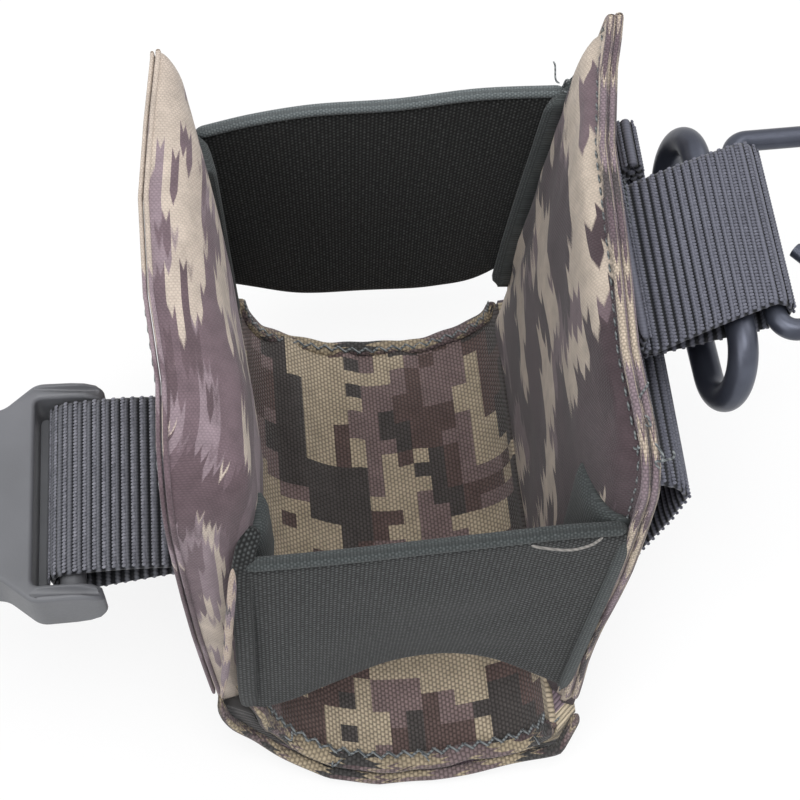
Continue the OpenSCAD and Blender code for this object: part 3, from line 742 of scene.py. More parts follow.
def on_right(v, y, depth):
    """A point of the right wall: v up the outer face, y along it, depth into the pouch."""
    sway = np.interp(y, (-28, -21, -12, 2, 18, 30, 35, 39),
                     (-2.5, -3.1, -3.3, -2.3, -1.5, 0.6, 1.9, 2.8))
    drawn_in = 0.7 * np.exp(-((v - 19) / 13) ** 2 - (np.clip(y + 31, 0, None) / 8) ** 2)
    x = (RIGHT_SEAM[0] - depth * math.cos(RIGHT_LEAN) + v * math.sin(RIGHT_LEAN)
         + sway * (np.clip(v, 0, None) / RIGHT_HEIGHT) ** 1.6 - drawn_in)
    z = RIGHT_SEAM[2] + depth * math.sin(RIGHT_LEAN) + v * math.cos(RIGHT_LEAN)
    return np.stack(np.broadcast_arrays(x, y, z), axis=-1)


def right_front(v):
    edge = np.interp(v, (0, 12.5, 25, 40, 49, 62.8), (-33.4, -31.6, -30.8, -30.2, -29.4, -27.6))
    return edge + corner_cut(v, RIGHT_HEIGHT, 7.0)


def right_back(v):
    return np.interp(v, (0, 40, 62.8), (35.6, 37.6, 39.6)) - corner_cut(v, RIGHT_HEIGHT, 1.5)


RIGHT_EDGES = (right_front, right_back, RIGHT_HEIGHT)


def right_thickness(y, v):
    """The padding swells quickly from the sewn edges and is a little thicker higher up."""
    seam = np.min(ways_in(v, y, *RIGHT_EDGES), axis=0)
    full = np.interp(v, (0, 20, 45, 62.8), (3.9, 4.6, 4.8, 4.8))
    return 2.2 + (full - 2.2) * (1 - np.exp(-np.clip(seam - 1.4, 0, None) / 1.6))


def right_pinned(p, near):
    height = (p[2] - RIGHT_SEAM[2]) / math.cos(RIGHT_LEAN)
    return (height < near or height > RIGHT_HEIGHT - near or p[1] < right_front(height) + near
            or p[1] > right_back(height) - near)


right_wall_print = camo_cloth("printed_oxford_right_wall", ("#bfb1a2", "#6f5f64", "#4a3d41", "#43373b"),
                              amounts=(0.56, 0.51, 0.57), seed=62.17, grain=0.14, depth=0.08, blob=9.5,
                              stretch=(2.2, 1.1), weave=(0.55, 0.4), streak=(2.1, 3.8),
                              drift=(1.5, -0.1, 0.162))
edge_print = camo_cloth("printed_oxford_edge", ("#b9aa98", "#84747a", "#67575d", "#514a4b"),
                        amounts=(0.53, 0.59, 0.64), seed=1.7, grain=0.35, depth=0.12, blob=5.0,
                        stretch=(1.6, 0.6), weave=(0.6, 0.45), streak=(0.45, 3.0))
v, y = wall_sheet(*RIGHT_EDGES)
ways = ways_in(v, y, *RIGHT_EDGES)
seam_gap = np.min(ways, axis=0)
tight = rounded(ways[0], 1.1) * rounded(ways[1], 1.1) * rounded(ways[2], 1.1)
groove = 0.45 * np.exp(-((seam_gap - 1.6) / 0.5) ** 2)
fold = 1.1 * np.exp(-((y - 33 + v * 0.16) / 1.6) ** 2) * np.interp(v, (0, 8, 30, 45), (0.4, 1, 0.8, 0))
inner = on_right(v, y, (right_thickness(y, v) - groove - fold * 0.6) * tight + 0.3 * (1 - tight))
inner[..., 0] += (ripple(inner, 12.0, 0.55, 5.0) * tight
                  + ripple(inner, 3.6, 0.3, 1.0) * tight * np.exp(-seam_gap / 5))
outer = on_right(v, y, -0.3 * tight + 0.1)
right_pad = shell("right_wall_pad", inner, outer, right_wall_print,
                  cut=wall_cut(inner, y, ways[2], ways[0] + 2.0))
puff_up(right_pad, pressure=3.0, cap=0.6, pinned=right_pinned, near=2.2)
belongs(right_pad, "pouch", "lining_cloth", "right_inner_panel", "right_padding",
        "right_outer_panel")

right_stitches = threads("right_wall_topstitches",
                         [wall_edge(on_right, RIGHT_EDGES, inset=1.5, depth=2.15)],
                         grey_thread, pitch=1.9, length=1.45, width=0.36, height=0.3)
belongs(right_stitches, "pouch", "thread")
turned_edges(on_right, RIGHT_EDGES, edge_print, "pouch",
             (("right_wall_lining_fold", 0.25, 1.45, oval(0.62, 0.6, 12, 2.6)),
              ("right_wall_cover_fold", 0.1, 0.35, oval(0.75, 0.5, 12, 2.6))))


# ---- Elastic bands -----------------------------------------------------------------------
# Wide knitted elastic, stretched from wall to wall across each open end. It is ribbed
# across its length, has a rolled upper edge, and its lower edge draws in between the walls.
ELASTIC_THICK = 1.3


def shaded(tree, height, span, under, over):
    """The colour under, turning into over as the height rises through a span."""
    share = add(tree, "ShaderNodeMapRange", (height, *span))
    return add(tree, "ShaderNodeMix", {0: share, 6: under, 7: over}, 2, data_type="RGBA")


def elastic(name, tints, rib=0.52, dots=0.6):
    """Knitted elastic of polyester and rubber: fine ribs with yarn crowns in a brick order
    on them, dull and a little fuzzy. The colour runs from the gap tint in the hollows to the
    light tint on the crowns, painted shade and highlight of the knit, with a random mottle.
    rib and dots are in millimetres."""
    material, tree = blank_material(name)
    cut, along, across = flat_place(tree)
    crowns = brick_dots(tree, across, along, dots, rib)
    worn = add(tree, "ShaderNodeTexNoise", {"Vector": cut, "Scale": 1.5 / MM, "Detail": 2.0},
               noise_dimensions="2D")
    height = add(tree, MATH, (worn, 0.8, crowns), operation="MULTIPLY_ADD")
    # Painted shade in the hollows and painted highlight on the crowns, mottled at random.
    gap, ground, light = (colour(tint) for tint in tints)
    lower = shaded(tree, height, (0.6, 1.1), gap, ground)
    finish_cloth(tree, shaded(tree, height, (1.1, 1.55), lower, light), crowns,
                 depth=0.10, roughness=0.8, sheen=0.1)
    return material


def eased(keys, values, x):
    """A smooth curve through a few values."""
    keys, values = np.array(keys, float), np.array(values, float)
    slopes = np.gradient(values, keys)
    i = np.clip(np.searchsorted(keys, x) - 1, 0, len(keys) - 2)
    h = keys[i + 1] - keys[i]
    t = np.clip((x - keys[i]) / h, 0, 1)
    return ((2 * t ** 3 - 3 * t ** 2 + 1) * values[i] + (t ** 3 - 2 * t ** 2 + t) * h * slopes[i]
            + (3 * t ** 2 - 2 * t ** 3) * values[i + 1] + (t ** 3 - t ** 2) * h * slopes[i + 1])


def spline(points, count=60):
    """A smooth line through a few points, which lie evenly along it."""
    return np.stack([eased(np.linspace(0, 1, len(points)), [p[k] for p in points],
                           np.linspace(0, 1, count)) for k in range(3)], axis=1)


def normals_of(grid):
    """The unit normal at each point of a grid of points."""
    return unit(np.cross(np.gradient(grid, axis=0), np.gradient(grid, axis=1)))


def band(name, top, bottom, material, bow, columns=150, rows=56):
    """A band between an upper and a lower edge, each given as rows of x, y and z. bow is
    how far its middle stands off. Returns it, its upper edge and the normals there."""
    t = np.linspace(0, 1, columns)
    ends = []
    for edge in np.array(bottom, float), np.array(top, float):
        keys = (edge[:, 0] - edge[0, 0]) / (edge[-1, 0] - edge[0, 0])
        ends.append(np.stack([eased(keys, edge[:, k], t) for k in range(3)], axis=1))
    w = np.linspace(0, 1, rows)[:, None, None]
    grid = ends[0][None] * (1 - w) + ends[1][None] * w
    grid[..., 1] += bow * np.sin(math.pi * w[..., 0]) * np.sin(math.pi * t)[None]
    n = normals_of(grid)
    rim = np.clip(np.minimum(w, 1 - w) * 34, 0, 1) ** 0.5
    soft = ripple(grid, 9.0, 0.25)[..., None]
    half = ELASTIC_THICK / 2 * (0.35 + 0.65 * rim)
    return (shell(name, grid + n * (half + soft), grid - n * (half - soft), material),
            ends[1], n[-1])


front_elastic_finish = elastic("knitted_elastic_grey", ("#111212", "#2d2f2f", "#545757"))
# The back band's elastic has darker tints than the front band's, and its rolled edge paler ones.
back_elastic_finish = elastic("knitted_elastic_back_darker", ("#0d0e0e", "#232524", "#525453"), 0.5, 0.62)
roll_finish = elastic("knitted_elastic_rolled_edge", ("#343838", "#464a4a", "#565b5b"), 0.4, 0.5)
pale_roll_finish = elastic("knitted_elastic_pale_edge", ("#575d5e", "#676d6e", "#777d7e"), 0.4, 0.5)

FRONT_TOP = ((-21.4, -28.6, 57.2), (-14.5, -29.0, 58.3), (-8.0, -29.2, 59.2), (0.0, -29.2, 60.0),
             (9.0, -29.1, 60.6), (17.0, -28.9, 60.9), (24.2, -28.8, 60.6))
FRONT_BOTTOM = ((-22.4, -31.6, 15.6), (-17.2, -31.2, 17.4), (-11.7, -30.2, 20.0), (-2.3, -28.4, 23.2),
                (4.4, -28.2, 23.4), (11.3, -29.2, 21.8), (17.4, -30.8, 18.4), (21.2, -31.9, 16.2))
BACK_TOP = ((-25.4, 37.0, 56.6), (-17.6, 37.3, 58.5), (-10.8, 37.4, 59.6), (2.9, 37.4, 60.1),
            (13.8, 37.4, 61.3), (25.6, 36.8, 61.8))
BACK_BOTTOM = ((-22.2, 35.9, 21.0), (-18.2, 35.1, 20.6), (-11.9, 34.0, 20.2), (-0.8, 33.5, 20.4),
               (8.9, 33.8, 20.2), (15.2, 34.6, 20.4), (20.6, 35.4, 23.4))
for name, node_name, top, bottom, finish, roll_shade, bow in (
        ("front_elastic", "front_elastic_band", FRONT_TOP, FRONT_BOTTOM, front_elastic_finish,
         roll_finish, -0.8),
        ("back_elastic", "back_elastic_band", BACK_TOP, BACK_BOTTOM, back_elastic_finish,
         pale_roll_finish, 0.8)):
    strip, edge, edge_normals = band(name, top, bottom, finish, bow)
    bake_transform(strip)
    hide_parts(node_name)
    roll = sweep(name + "_rolled_edge", edge + (0, 0, 0.1), edge_normals, oval(0.75, 0.95, 12, 2.0),
                 roll_shade, taper=4)
    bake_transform(roll)


# ---- Sewn ends of the bands --------------------------------------------------------------
# Each band's end is folded and sewn flat to the wall's inner face, and the fold shows as a
# doubled strip along the wall's edge.
def left_face(y, v):
    """How far the left wall's padded face stands in, but for its rounded top."""
    return left_thickness(y, v) * rounded(y - left_front(v), 5.0) * rounded(left_back(v) - y, 3.5)


for name, node_name, corners, thick in (
        ("front_elastic_left_end", "front_band_left_tail",
         ((-0.5, -29.6), (0.5, -20.5), (43.6, -20.5), (43.0, -27.2)), 1.5),
        ("front_elastic_right_end", "front_band_right_tail",
         ((4.0, -32.0), (5.0, -23.0), (46.5, -18.6), (50.0, -28.2)), 1.4),
        ("back_elastic_left_end", "back_band_left_tail",
         ((5.0, 35.6), (5.0, 28.6), (42.0, 29.2), (42.0, 36.6)), 1.6),
        ("back_elastic_right_end", "back_band_right_tail",
         ((8.0, 36.2), (9.0, 32.0), (50.0, 34.4), (51.5, 38.4)), 2.6)):
    on_wall, face, body = ((on_left, left_face, "left_wall") if "left" in name
                           else (on_right, right_thickness, "pouch"))
    # The corners are (up, along) on the wall, from the lower outer one round.
    a, b, c, d = (np.array(corner, float) for corner in corners)
    s = np.linspace(0, 1, 40)[:, None, None]
    t = spaced(26)[None, :, None]
    flat = (a * (1 - t) + b * t) * (1 - s) + (d * (1 - t) + c * t) * s
    v, y = flat[..., 0], flat[..., 1]
    edge = rounded(np.minimum(t, 1 - t)[..., 0], 0.22) * rounded(np.minimum(s, 1 - s)[..., 0], 0.06)
    base = face(y, v)
    end = shell(name, on_wall(v, y, base + 0.1 + thick * (0.45 + 0.55 * edge)),
                on_wall(v, y, base - 0.4), roll_finish)
    belongs(end, body, "elastic", node_name)

for name, body, line, profile, finish, outwards in (
        ("front_elastic_left_fold", "left_wall",
         ((-20.0, -25.2, 60.6), (-21.2, -27.8, 59.0), (-22.0, -29.4, 54.0), (-22.4, -31.0, 40.0),
          (-22.9, -31.8, 24.0), (-22.8, -31.6, 16.6)),
         oval(1.3, 0.55, 14, 2.6), front_elastic_finish, (0.0, -1.0, 0.35)),
        ("front_elastic_right_fold", "pouch",
         ((22.6, -18.6, 56.4), (23.4, -23.4, 59.3), (24.0, -27.4, 59.9), (24.2, -29.4, 57.0),
          (23.2, -30.5, 45.0), (21.6, -31.9, 28.0), (20.7, -32.4, 16.4)),
         oval(0.85, 0.7, 14, 2.2), roll_finish, (0.0, -1.0, 0.35)),
        ("back_elastic_right_fold", "pouch",
         ((26.4, 37.2, 61.6), (25.6, 37.2, 56.0), (23.4, 36.6, 38.0), (21.4, 35.9, 23.0)),
         oval(0.9, 0.9, 14, 2.2), roll_finish, (-0.4, 0.8, 0.4))):
    strip = sweep(name, spline(line), outwards, profile, finish, taper=4, turned=True)
    belongs(strip, body, "elastic")


# ---- Edge piping and loose threads -------------------------------------------------------
# The lining's turned edge stands as a thin tan cord beside the front band's left end. The
# seams end in curls of grey thread, and a pale end lies slack under the front band's roll.
piping_print = camo_cloth("printed_oxford_piping", ("#b3a192", "#84747a", "#67575d", "#514a4b"),
                          amounts=(0.57, 0.64, 0.7), seed=1.7, grain=0.2, depth=0.12, blob=5.0,
                          stretch=(1.6, 0.6), weave=(0.6, 0.45), streak=(0.45, 3.0))
piping_line = ((-22.7, -30.4, 60.5), (-23.1, -31.4, 56.0), (-24.1, -32.0, 46.0),
               (-25.2, -32.1, 34.0), (-26.6, -31.8, 21.0))
piping = sweep("left_wall_front_piping", spline(piping_line), (0.0, -1.0, 0.3),
               oval(0.55, 0.5, 12, 2.2), piping_print, taper=18)
belongs(piping, "left_wall", "camo_cloth")


def join(name, meshes, material):
    """One piece of several meshes that are in metres."""
    work = bmesh.new()
    for mesh in meshes:
        work.from_mesh(mesh)
    out = bpy.data.meshes.new(name)
    work.to_mesh(out)
    work.free()
    out.materials.clear()
    out.materials.append(material)
    return close_up(put(name, out))


def curls(name, body, starts, seed, reach=3.2):
    """Loose ends of sewing thread, each a thin bent strand from a seam."""
    chance = np.random.default_rng(seed)
    meshes = []
    for start in starts:
        way = chance.normal(size=3) * (0.7, 0.7, 0.5) + (0, 0, 0.5)
        bend = chance.normal(size=3)
        t = np.linspace(0, 1, 14)[:, None]
        line = (np.array(start) + t * way / np.linalg.norm(way) * reach * chance.uniform(0.6, 1.1)
                + np.sin(t * math.pi * chance.uniform(0.9, 1.8)) * bend * 0.55)
        strand = sweep(name, line, (0.31, 0.23, 0.92), oval(0.14, 0.14, 6), grey_thread, taper=2)
        meshes.append(strand.data)
        bpy.data.objects.remove(strand)
    belongs(join(name, meshes, grey_thread), body, "thread")


slack_line = ((12.3, -30.8, 62.0), (14.0, -30.9, 61.2), (17.1, -31.0, 60.4), (19.4, -30.9, 61.1),
              (20.8, -30.6, 62.4))
slack = sweep("front_band_slack_thread", spline(slack_line), (0.0, -0.5, 0.87),
              oval(0.17, 0.17, 8), pale_thread, taper=6)
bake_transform(slack)
curls("right_wall_loose_threads", "pouch",
      ((25.6, -19.0, 74.0), (26.2, -21.0, 73.8), (26.6, -23.0, 73.6), (26.8, -25.5, 73.0),
       (26.0, -24.0, 73.6), (26.6, -27.0, 72.2), (25.2, -22.0, 74.0), (26.3, -26.2, 72.6)), 7)
curls("back_band_loose_threads", "pouch", ((24.6, 37.8, 62.0), (25.0, 38.0, 62.2), (25.4, 37.4, 61.8)), 3)
curls("left_wall_loose_threads", "left_wall", ((-30.6, 31.5, 66.0), (-30.7, 30.5, 65.0)), 5, 2.0)
curls("front_hem_loose_threads", "pouch",
      ((19.6, -36.6, 10.5), (17.0, -36.8, 8.6), (-18.6, -33.6, 8.6), (-10.5, -36.5, 5.2),
       (2.0, -37.6, 4.0), (20.2, -35.6, 11.5)), 11, 2.2)


# ---- Webbing loops -----------------------------------------------------------------------
# Ribbed polypropylene webbing, folded round a bar and sewn to the wall at both ends. The
# weft makes the ribs across, and light warp floats stand in rows between the ribs' gaps,
# which are painted dark as shade.
WEB_WIDTH = 25.0
WEB_THICK = 1.4
RIB_STEP = 1.24
YARN_STEP = 0.48
WALL_BEND = 1.3  # the radius at which the webbing leaves the wall
LEFT_SET_BACK, RIGHT_SET_BACK = 1.8, 3.2  # how far a lower run lies behind its upper one


def webbing_finish(name, tints):
    """Woven polypropylene: pale ribs of slanting yarns between gaps painted dark as shade."""
    material, tree = blank_material(name)
    along, across = flat_place(tree)[1:]
    slant = add(tree, MATH, (across, 0.35, along), operation="MULTIPLY_ADD")
    yarn_turn = add(tree, MATH, (slant, math.pi / (YARN_STEP * MM)), operation="MULTIPLY")
    rib_turn = add(tree, MATH, (across, math.pi / (RIB_STEP * MM)), operation="MULTIPLY")
    yarns = add(tree, MATH, (add(tree, MATH, (yarn_turn,), operation="SINE"),), operation="ABSOLUTE")
    ribs = add(tree, MATH, (add(tree, MATH, (rib_turn,), operation="COSINE"),), operation="ABSOLUTE")
    height = add(tree, MATH, (yarns, 0.22, ribs), operation="MULTIPLY_ADD")
    # Painted shade: the gap tint darkens the hollows between the ribs.
    gap, ground, light = (colour(tint) for tint in tints)
    lower = shaded(tree, height, (0.66, 1.0), gap, ground)
    finish_cloth(tree, shaded(tree, height, (0.85, 1.2), lower, light), height,
                 depth=0.12, roughness=0.62, sheen=0.12)
    return material


def float_finish(name, shade, light):
    """The raised polypropylene yarns of the webbing: streaky and a little shiny."""
    material, tree = blank_material(name)
    place = add(tree, "ShaderNodeTexCoord", out="Object")
    fine, slub = (add(tree, "ShaderNodeTexNoise", {"Vector": place, "Scale": grains / MM, "Detail": 2.0})
                  for grains in (1.8, 0.16))
    both = add(tree, MATH, (slub, 0.5, fine), operation="MULTIPLY_ADD")
    tone = shaded(tree, both, (0.5, 1.0), colour(shade), colour(light))
    finish_cloth(tree, tone, fine, depth=0.05, roughness=0.7, sheen=0.1)
    return material


def strap(name, path, ups, width, finishes, body, *nodes, rib_step=RIB_STEP):
    """Webbing along the middle line of its thickness, with ribs across it, and its woven
    floats on the outer face as a piece of their own. finishes are the ground's and the
    floats'."""
    ground, floats = finishes
    run = ways_along(path)
    rib_count = round(run[-1] / rib_step)
    rib_step = run[-1] / rib_count
    fine = np.linspace(0, run[-1], rib_count * 8 + 1)
    line, lean = (np.stack([np.interp(fine, run, rows[:, k]) for k in range(3)], axis=1)
                  for rows in (path, unit(ups)))
    lean = unit(lean)
    across = spaced(26, 0.4) * 2 - 1
    edge = np.sqrt(np.clip(1 - np.abs(across) ** 18, 0, 1))
    ribs = 0.5 + 0.5 * np.cos(2 * math.pi * fine / rib_step)
    half = (WEB_THICK / 2 - 0.40 + 0.34 * ribs[:, None]) * (0.3 + 0.7 * edge)[None, :]
    middle = line[:, None, :] + np.array((0, 1, 0)) * (across * width / 2)[None, :, None]
    flat = np.stack(np.broadcast_arrays((across * width / 2)[None, :],
                                        (fine / rib_step * RIB_STEP)[:, None]), axis=2)
    webbing = shell(name, middle + lean[:, None, :] * half[..., None],
                    middle - lean[:, None, :] * half[..., None], ground, cut=flat)
    belongs(webbing, body, "webbing", *nodes)
    count = int(width / YARN_STEP)
    spacing = width / (count + 0.3)
    rows = threads(name + "_floats", [(line, lean)], floats, pitch=rib_step * 0.9999,
                   length=rib_step * 0.58, width=spacing * 1.05, height=0.36, across=count,
                   spacing=spacing, lift=WEB_THICK / 2 - 0.13, side_axis=(0.0, 1.0, 0.0), slant=0.42)
    belongs(rows, body, "webbing")


def loop_path(root, far, z, radius, rise, on_wall, wall_y, wall_v, tail_up, tail_down, set_back):
    """The middle line of a loop: up the wall, out, round the bar and back, down the wall.
    far is the bar's x and radius the middle line's radius round it. The lower run ends
    set_back millimetres further back than the upper one."""
    sign = 1.0 if far > root else -1.0
    points, ups = [], []

    def sewn(heights):
        for height in heights:
            points.append(on_wall(height, wall_y, -0.75))
            ups.append((sign, 0, 0))

    def lay(x, height, up_x, up_z):
        points.append((x, wall_y, height))
        ups.append((up_x, 0, up_z))

    sewn(wall_v + radius + 1.4 + tail_up * np.linspace(1, 0, 10))
    start = points[-1][0]
    for bend in np.linspace(0.2, 1, 5) * math.pi / 2:
        lay(start + sign * WALL_BEND * (1 - math.cos(bend)),
            z + radius + 1.4 - WALL_BEND * math.sin(bend), sign * math.cos(bend), math.sin(bend))
    near = points[-1][0] + sign * 0.8
    for t in np.linspace(0, 1, 24):
        sag = rise * math.sin(math.pi * t)
        lay(near + (far - near) * t, z + radius + 0.1 * (1 - t) + sag, 0, 1)
    for a in np.linspace(0.06, 0.94, 13) * math.pi:
        lay(far + sign * radius * math.sin(a), z + radius * math.cos(a), sign * math.sin(a),
            math.cos(a))
    for t in np.linspace(0, 1, 24):
        sag = rise * math.sin(math.pi * t)
        lay(far + (near - far) * t, z - radius - 0.1 * t + sag * 0.3, 0, -1)
    if tail_down:
        for bend in np.linspace(0.2, 1, 5) * math.pi / 2:
            lay(near - sign * 0.8 - sign * WALL_BEND * math.sin(bend),
                z - radius - WALL_BEND * (1 - math.cos(bend)), sign * math.sin(bend),
                -math.cos(bend))
        sewn(wall_v - radius - 1.6 - tail_down * np.linspace(0, 1, 10))
    points = np.array(points, float)
    under = np.clip((z + radius - points[:, 2]) / (2 * radius), 0, 1)
    reach = np.clip(np.abs(points[:, 0] - far) / abs(root - far), 0, 1)
    points[:, 1] += set_back * under * reach
    return points, np.array(ups, float)


left_webbing = (webbing_finish("polypropylene_webbing_left", ("#15161a", "#4a4b50", "#66676d")),
                float_finish("polypropylene_webbing_left_floats", "#5d5e65", "#8a8a92"))
# The right loop and the belt loop use the same webbing as the left loop, with darker tints: painted shade
# against the stronger light that falls on the right side.
right_webbing = (webbing_finish("polypropylene_webbing", ("#18191d", "#4d4e57", "#666772")),
                 float_finish("polypropylene_webbing_floats", "#53545e", "#6f707b"))
left_path, left_ups = loop_path(root=-28.9, far=-43.9, z=41.0, radius=2.6, rise=0.35,
                                on_wall=on_left, wall_y=-9.5, wall_v=25.08, tail_up=6.6,
                                tail_down=6.6, set_back=LEFT_SET_BACK)
strap("left_webbing_loop", left_path, left_ups, WEB_WIDTH, left_webbing, "left_wall",
      "left_strap_loop")
right_path, right_ups = loop_path(root=28.6, far=45.7, z=64.5, radius=2.8, rise=0.3,
                                  on_wall=on_right, wall_y=9.0, wall_v=53.15, tail_up=2.4,
                                  tail_down=0, set_back=RIGHT_SET_BACK)
right_path[:, 1] += np.interp(right_path[:, 0], (30, 46), (-5.4, 0.6))
strap("right_webbing_loop", right_path, right_ups, WEB_WIDTH, right_webbing, "pouch",
      "right_strap_loop")


# ---- Bar tacks of the loops --------------------------------------------------------------
# Dense bars of dark thread across the sewn ends of the webbing: three to each end of the
# left loop and two on the right one, sewn through into the wall.
tack_thread = plain_thread("polyester_thread_dark", "#6a6e72", "#2c2f32")


def tack_rows(on_wall, heights, middle, width, depth):
    """Paths of thread bars along y on a wall's outside."""
    y = np.linspace(middle - width / 2, middle + width / 2, 24)
    out = []
    for height in heights:
        points = on_wall(np.full_like(y, height), y, depth)
        out.append((points, on_wall(np.full_like(y, height), y, depth - 1) - points))
    return out


def tacks(name, node_name, body, rows):
    bars = threads(name, rows, tack_thread, pitch=0.55, length=0.42, width=1.25, height=0.5)
    belongs(bars, body, "thread", node_name)


tacks("left_loop_tacks", "left_strap_bartacks", "left_wall",
      tack_rows(on_left, (30.6, 33.0, 35.4), -9.5, 22, -1.55)
      + tack_rows(on_left, (14.6, 17.0, 19.4), -9.5 + LEFT_SET_BACK, 22, -1.55))
tacks("right_loop_tacks", "right_strap_bartacks", "pouch",
      tack_rows(on_right, (57.9, 59.2), 3.8, 22, -1.55))


# ---- Belt loop ---------------------------------------------------------------------------
# A wide webbing on the right wall's outside, sewn at both ends and slack in between, so
# that a belt or a strap passes through it. Its ribs are a little wider than the straps'.
BELT_WIDTH = 50.0
FOLD_FOOT = np.array((32.6, 26.3, 52.0))
belt_v = np.concatenate([np.linspace(1.6, 4.5, 6), np.linspace(5.4, 9.5, 8), np.linspace(11, 38, 22),
                         np.linspace(39.6, 44.2, 9), np.linspace(45.2, 48.6, 6)])
belt_out = np.interp(belt_v, (0, 4.6, 14, 26, 36, 43, 45.6, 47.4, 50),
                     (0.75, 0.8, 2.2, 4.2, 6.1, 6.8, 5.0, 0.85, 0.75))
belt_path = on_right(belt_v, 3.0 + 0 * belt_v, -belt_out)
belt_path[:, 0] += np.interp(belt_v, (0, 50), (0.0, 1.0))
belt_ups = np.cross(np.gradient(belt_path, axis=0), (0.0, 1.0, 0.0))
belt_ups = np.where(belt_ups[:, :1] < 0, -belt_ups, belt_ups)
strap("belt_webbing", belt_path, belt_ups, BELT_WIDTH, right_webbing, "pouch", "belt_loop",
      rib_step=1.5)
# Its loose back corner stands up in a doubled fold beside the strap.
for name, size in (("belt_webbing_fold", 1.0), ("belt_webbing_fold_inside", 0.5)):
    fold_line = bezier((30.4, 26.3, 50.0), (30.4, 26.3, 67.6), (35.4, 26.3, 67.6), (34.0, 26.3, 50.0), 40)
    fold_line = FOLD_FOOT + (fold_line - FOLD_FOOT) * (size, 1.0, 0.7 + 0.3 * size)
    fold_ups = np.cross((0.0, 1.0, 0.0), np.gradient(fold_line, axis=0))
    outwards = fold_line - (FOLD_FOOT + (0, 0, 2.0))
    fold_ups *= np.sign((fold_ups * outwards).sum(axis=1))[:, None]
    strap(name, fold_line, fold_ups, 7.8, right_webbing, "pouch")
tacks("belt_loop_tacks", "belt_loop_bartacks", "pouch",
      tack_rows(on_right, (46.0, 47.6, 2.6, 4.2), 3.0, 46, -1.6))


# ---- Side-release buckle -----------------------------------------------------------------
# The plug half of a moulded acetal buckle: two rounded arms beside the slot, a round bar
# that the webbing goes over, and two prongs with a guide between them.
BUCKLE_BAR = (-43.899, -10.2, 41.0)
BAR_HALF, BAR_RADIUS = 14.2, 1.7
SLOT_HALF = 13.5
ARM_END, ARM_ROUND = -0.3, 4.4  # where the arms start to thin, and over what length
LEDGE_DROP = 2.7  # how far the slot's ledge lies below the bar


def moulded_plastic(name, shade, worn):
    """Acetal from a spark-eroded mould: fine even grain, soft highlights, and a broad mottle between two
    greys.
    """
    material, tree = blank_material(name)
    place = add(tree, "ShaderNodeTexCoord", out="Object")
    grain = add(tree, "ShaderNodeTexNoise", {"Vector": place, "Scale": 2.6 / MM, "Detail": 2.0})
    broad = add(tree, "ShaderNodeTexNoise", {"Vector": place, "Scale": 0.07 / MM, "Detail": 3.0})
    bump = add(tree, "ShaderNodeBump", {"Strength": 0.35, "Distance": 0.05 * MM, "Height": grain})
    plastic = add(tree, "ShaderNodeBsdfPrincipled",
                  {"Base Color": shaded(tree, broad, (0.35, 0.75), colour(shade), colour(worn)),
                   "Roughness": add(tree, "ShaderNodeMapRange", {0: grain, 3: 0.42, 4: 0.58}),
                   "Normal": bump, "IOR": 1.48})
    add(tree, "ShaderNodeOutputMaterial", {"Surface": plastic})
    return material


def rounded_outline(corners, steps=6):
    """A closed outline of (x, y, radius) corners, each turned in an arc."""
    out = []
    for i, (x, y, radius) in enumerate(corners):
        here = np.array((x, y))
        back = np.array(corners[i - 1][:2]) - here
        ahead = np.array(corners[(i + 1) % len(corners)][:2]) - here
        length = min(np.linalg.norm(back), np.linalg.norm(ahead)) * 0.49
        back, ahead = back / np.linalg.norm(back), ahead / np.linalg.norm(ahead)
        half_angle = math.acos(float(np.clip(back @ ahead, -1, 1))) / 2
        reach = min(radius / math.tan(half_angle), length)
        for t in np.linspace(0, 1, steps):
            out.append(((1 - t) ** 2) * (here + back * reach) + 2 * t * (1 - t) * here
                       + t * t * (here + ahead * reach))
    return out


def moulding(name, outline, thick, bevel):
    """A flat moulding with rounded edges, from an outline of (x, y, radius) corners in the
    buckle's own plane, with x away from the wall."""
    curve = bpy.data.curves.new(name, "CURVE")
    curve.dimensions = "2D"
    curve.fill_mode = "BOTH"
    curve.extrude = (thick / 2 - bevel) * MM
    curve.bevel_depth = bevel * MM
    curve.bevel_resolution = 3
    curve.offset = -bevel * MM
    ring = rounded_outline(outline)
    line = curve.splines.new("POLY")
    line.points.add(len(ring) - 1)
    for point, (x, y) in zip(line.points, ring):
        point.co = (x * MM, y * MM, 0, 1)
    line.use_cyclic_u = True
    mesh = as_plain_mesh(put(name, curve), name)
    for vertex in mesh.vertices:
        vertex.co = (BUCKLE_BAR[0] * MM - vertex.co.x, BUCKLE_BAR[1] * MM + vertex.co.y,
                     BUCKLE_BAR[2] * MM + vertex.co.z)
    return mesh


def flat_faces(mesh):
    """Leans each normal towards its larger faces, so that flat faces look flat beside
    their rounded edges."""
    normals = np.zeros((len(mesh.vertices), 3))
    for face in mesh.polygons:
        normals[list(face.vertices)] += np.array(face.normal) * face.area
    mesh.normals_split_custom_set_from_vertices([tuple(n) for n in unit(normals)])


def round_bar(sides=28):
    """The bar across the slot, with softly rounded ends."""
    end_rings = [(0.0, 0.02), (0.0, BAR_RADIUS * 0.8), (BAR_RADIUS * 0.2, BAR_RADIUS)]
    rings = end_rings + [(2 * BAR_HALF - way, radius) for way, radius in reversed(end_rings)]
    work = bmesh.new()
    previous = None
    for way, radius in rings:
        ring = [work.verts.new(((BUCKLE_BAR[0] + radius * math.cos(a)) * MM,
                                (BUCKLE_BAR[1] - BAR_HALF + way) * MM,
                                (BUCKLE_BAR[2] - radius * math.sin(a)) * MM))
                for a in np.linspace(0, 2 * math.pi, sides, endpoint=False)]
        if previous:
            for k in range(sides):
                after = (k + 1) % sides
                work.faces.new((previous[k], previous[after], ring[after], ring[k]))
        else:
            work.faces.new(ring)
        previous = ring
    work.faces.new(previous[::-1])
    mesh = bpy.data.meshes.new("bar")
    work.to_mesh(mesh)
    work.free()
    return mesh


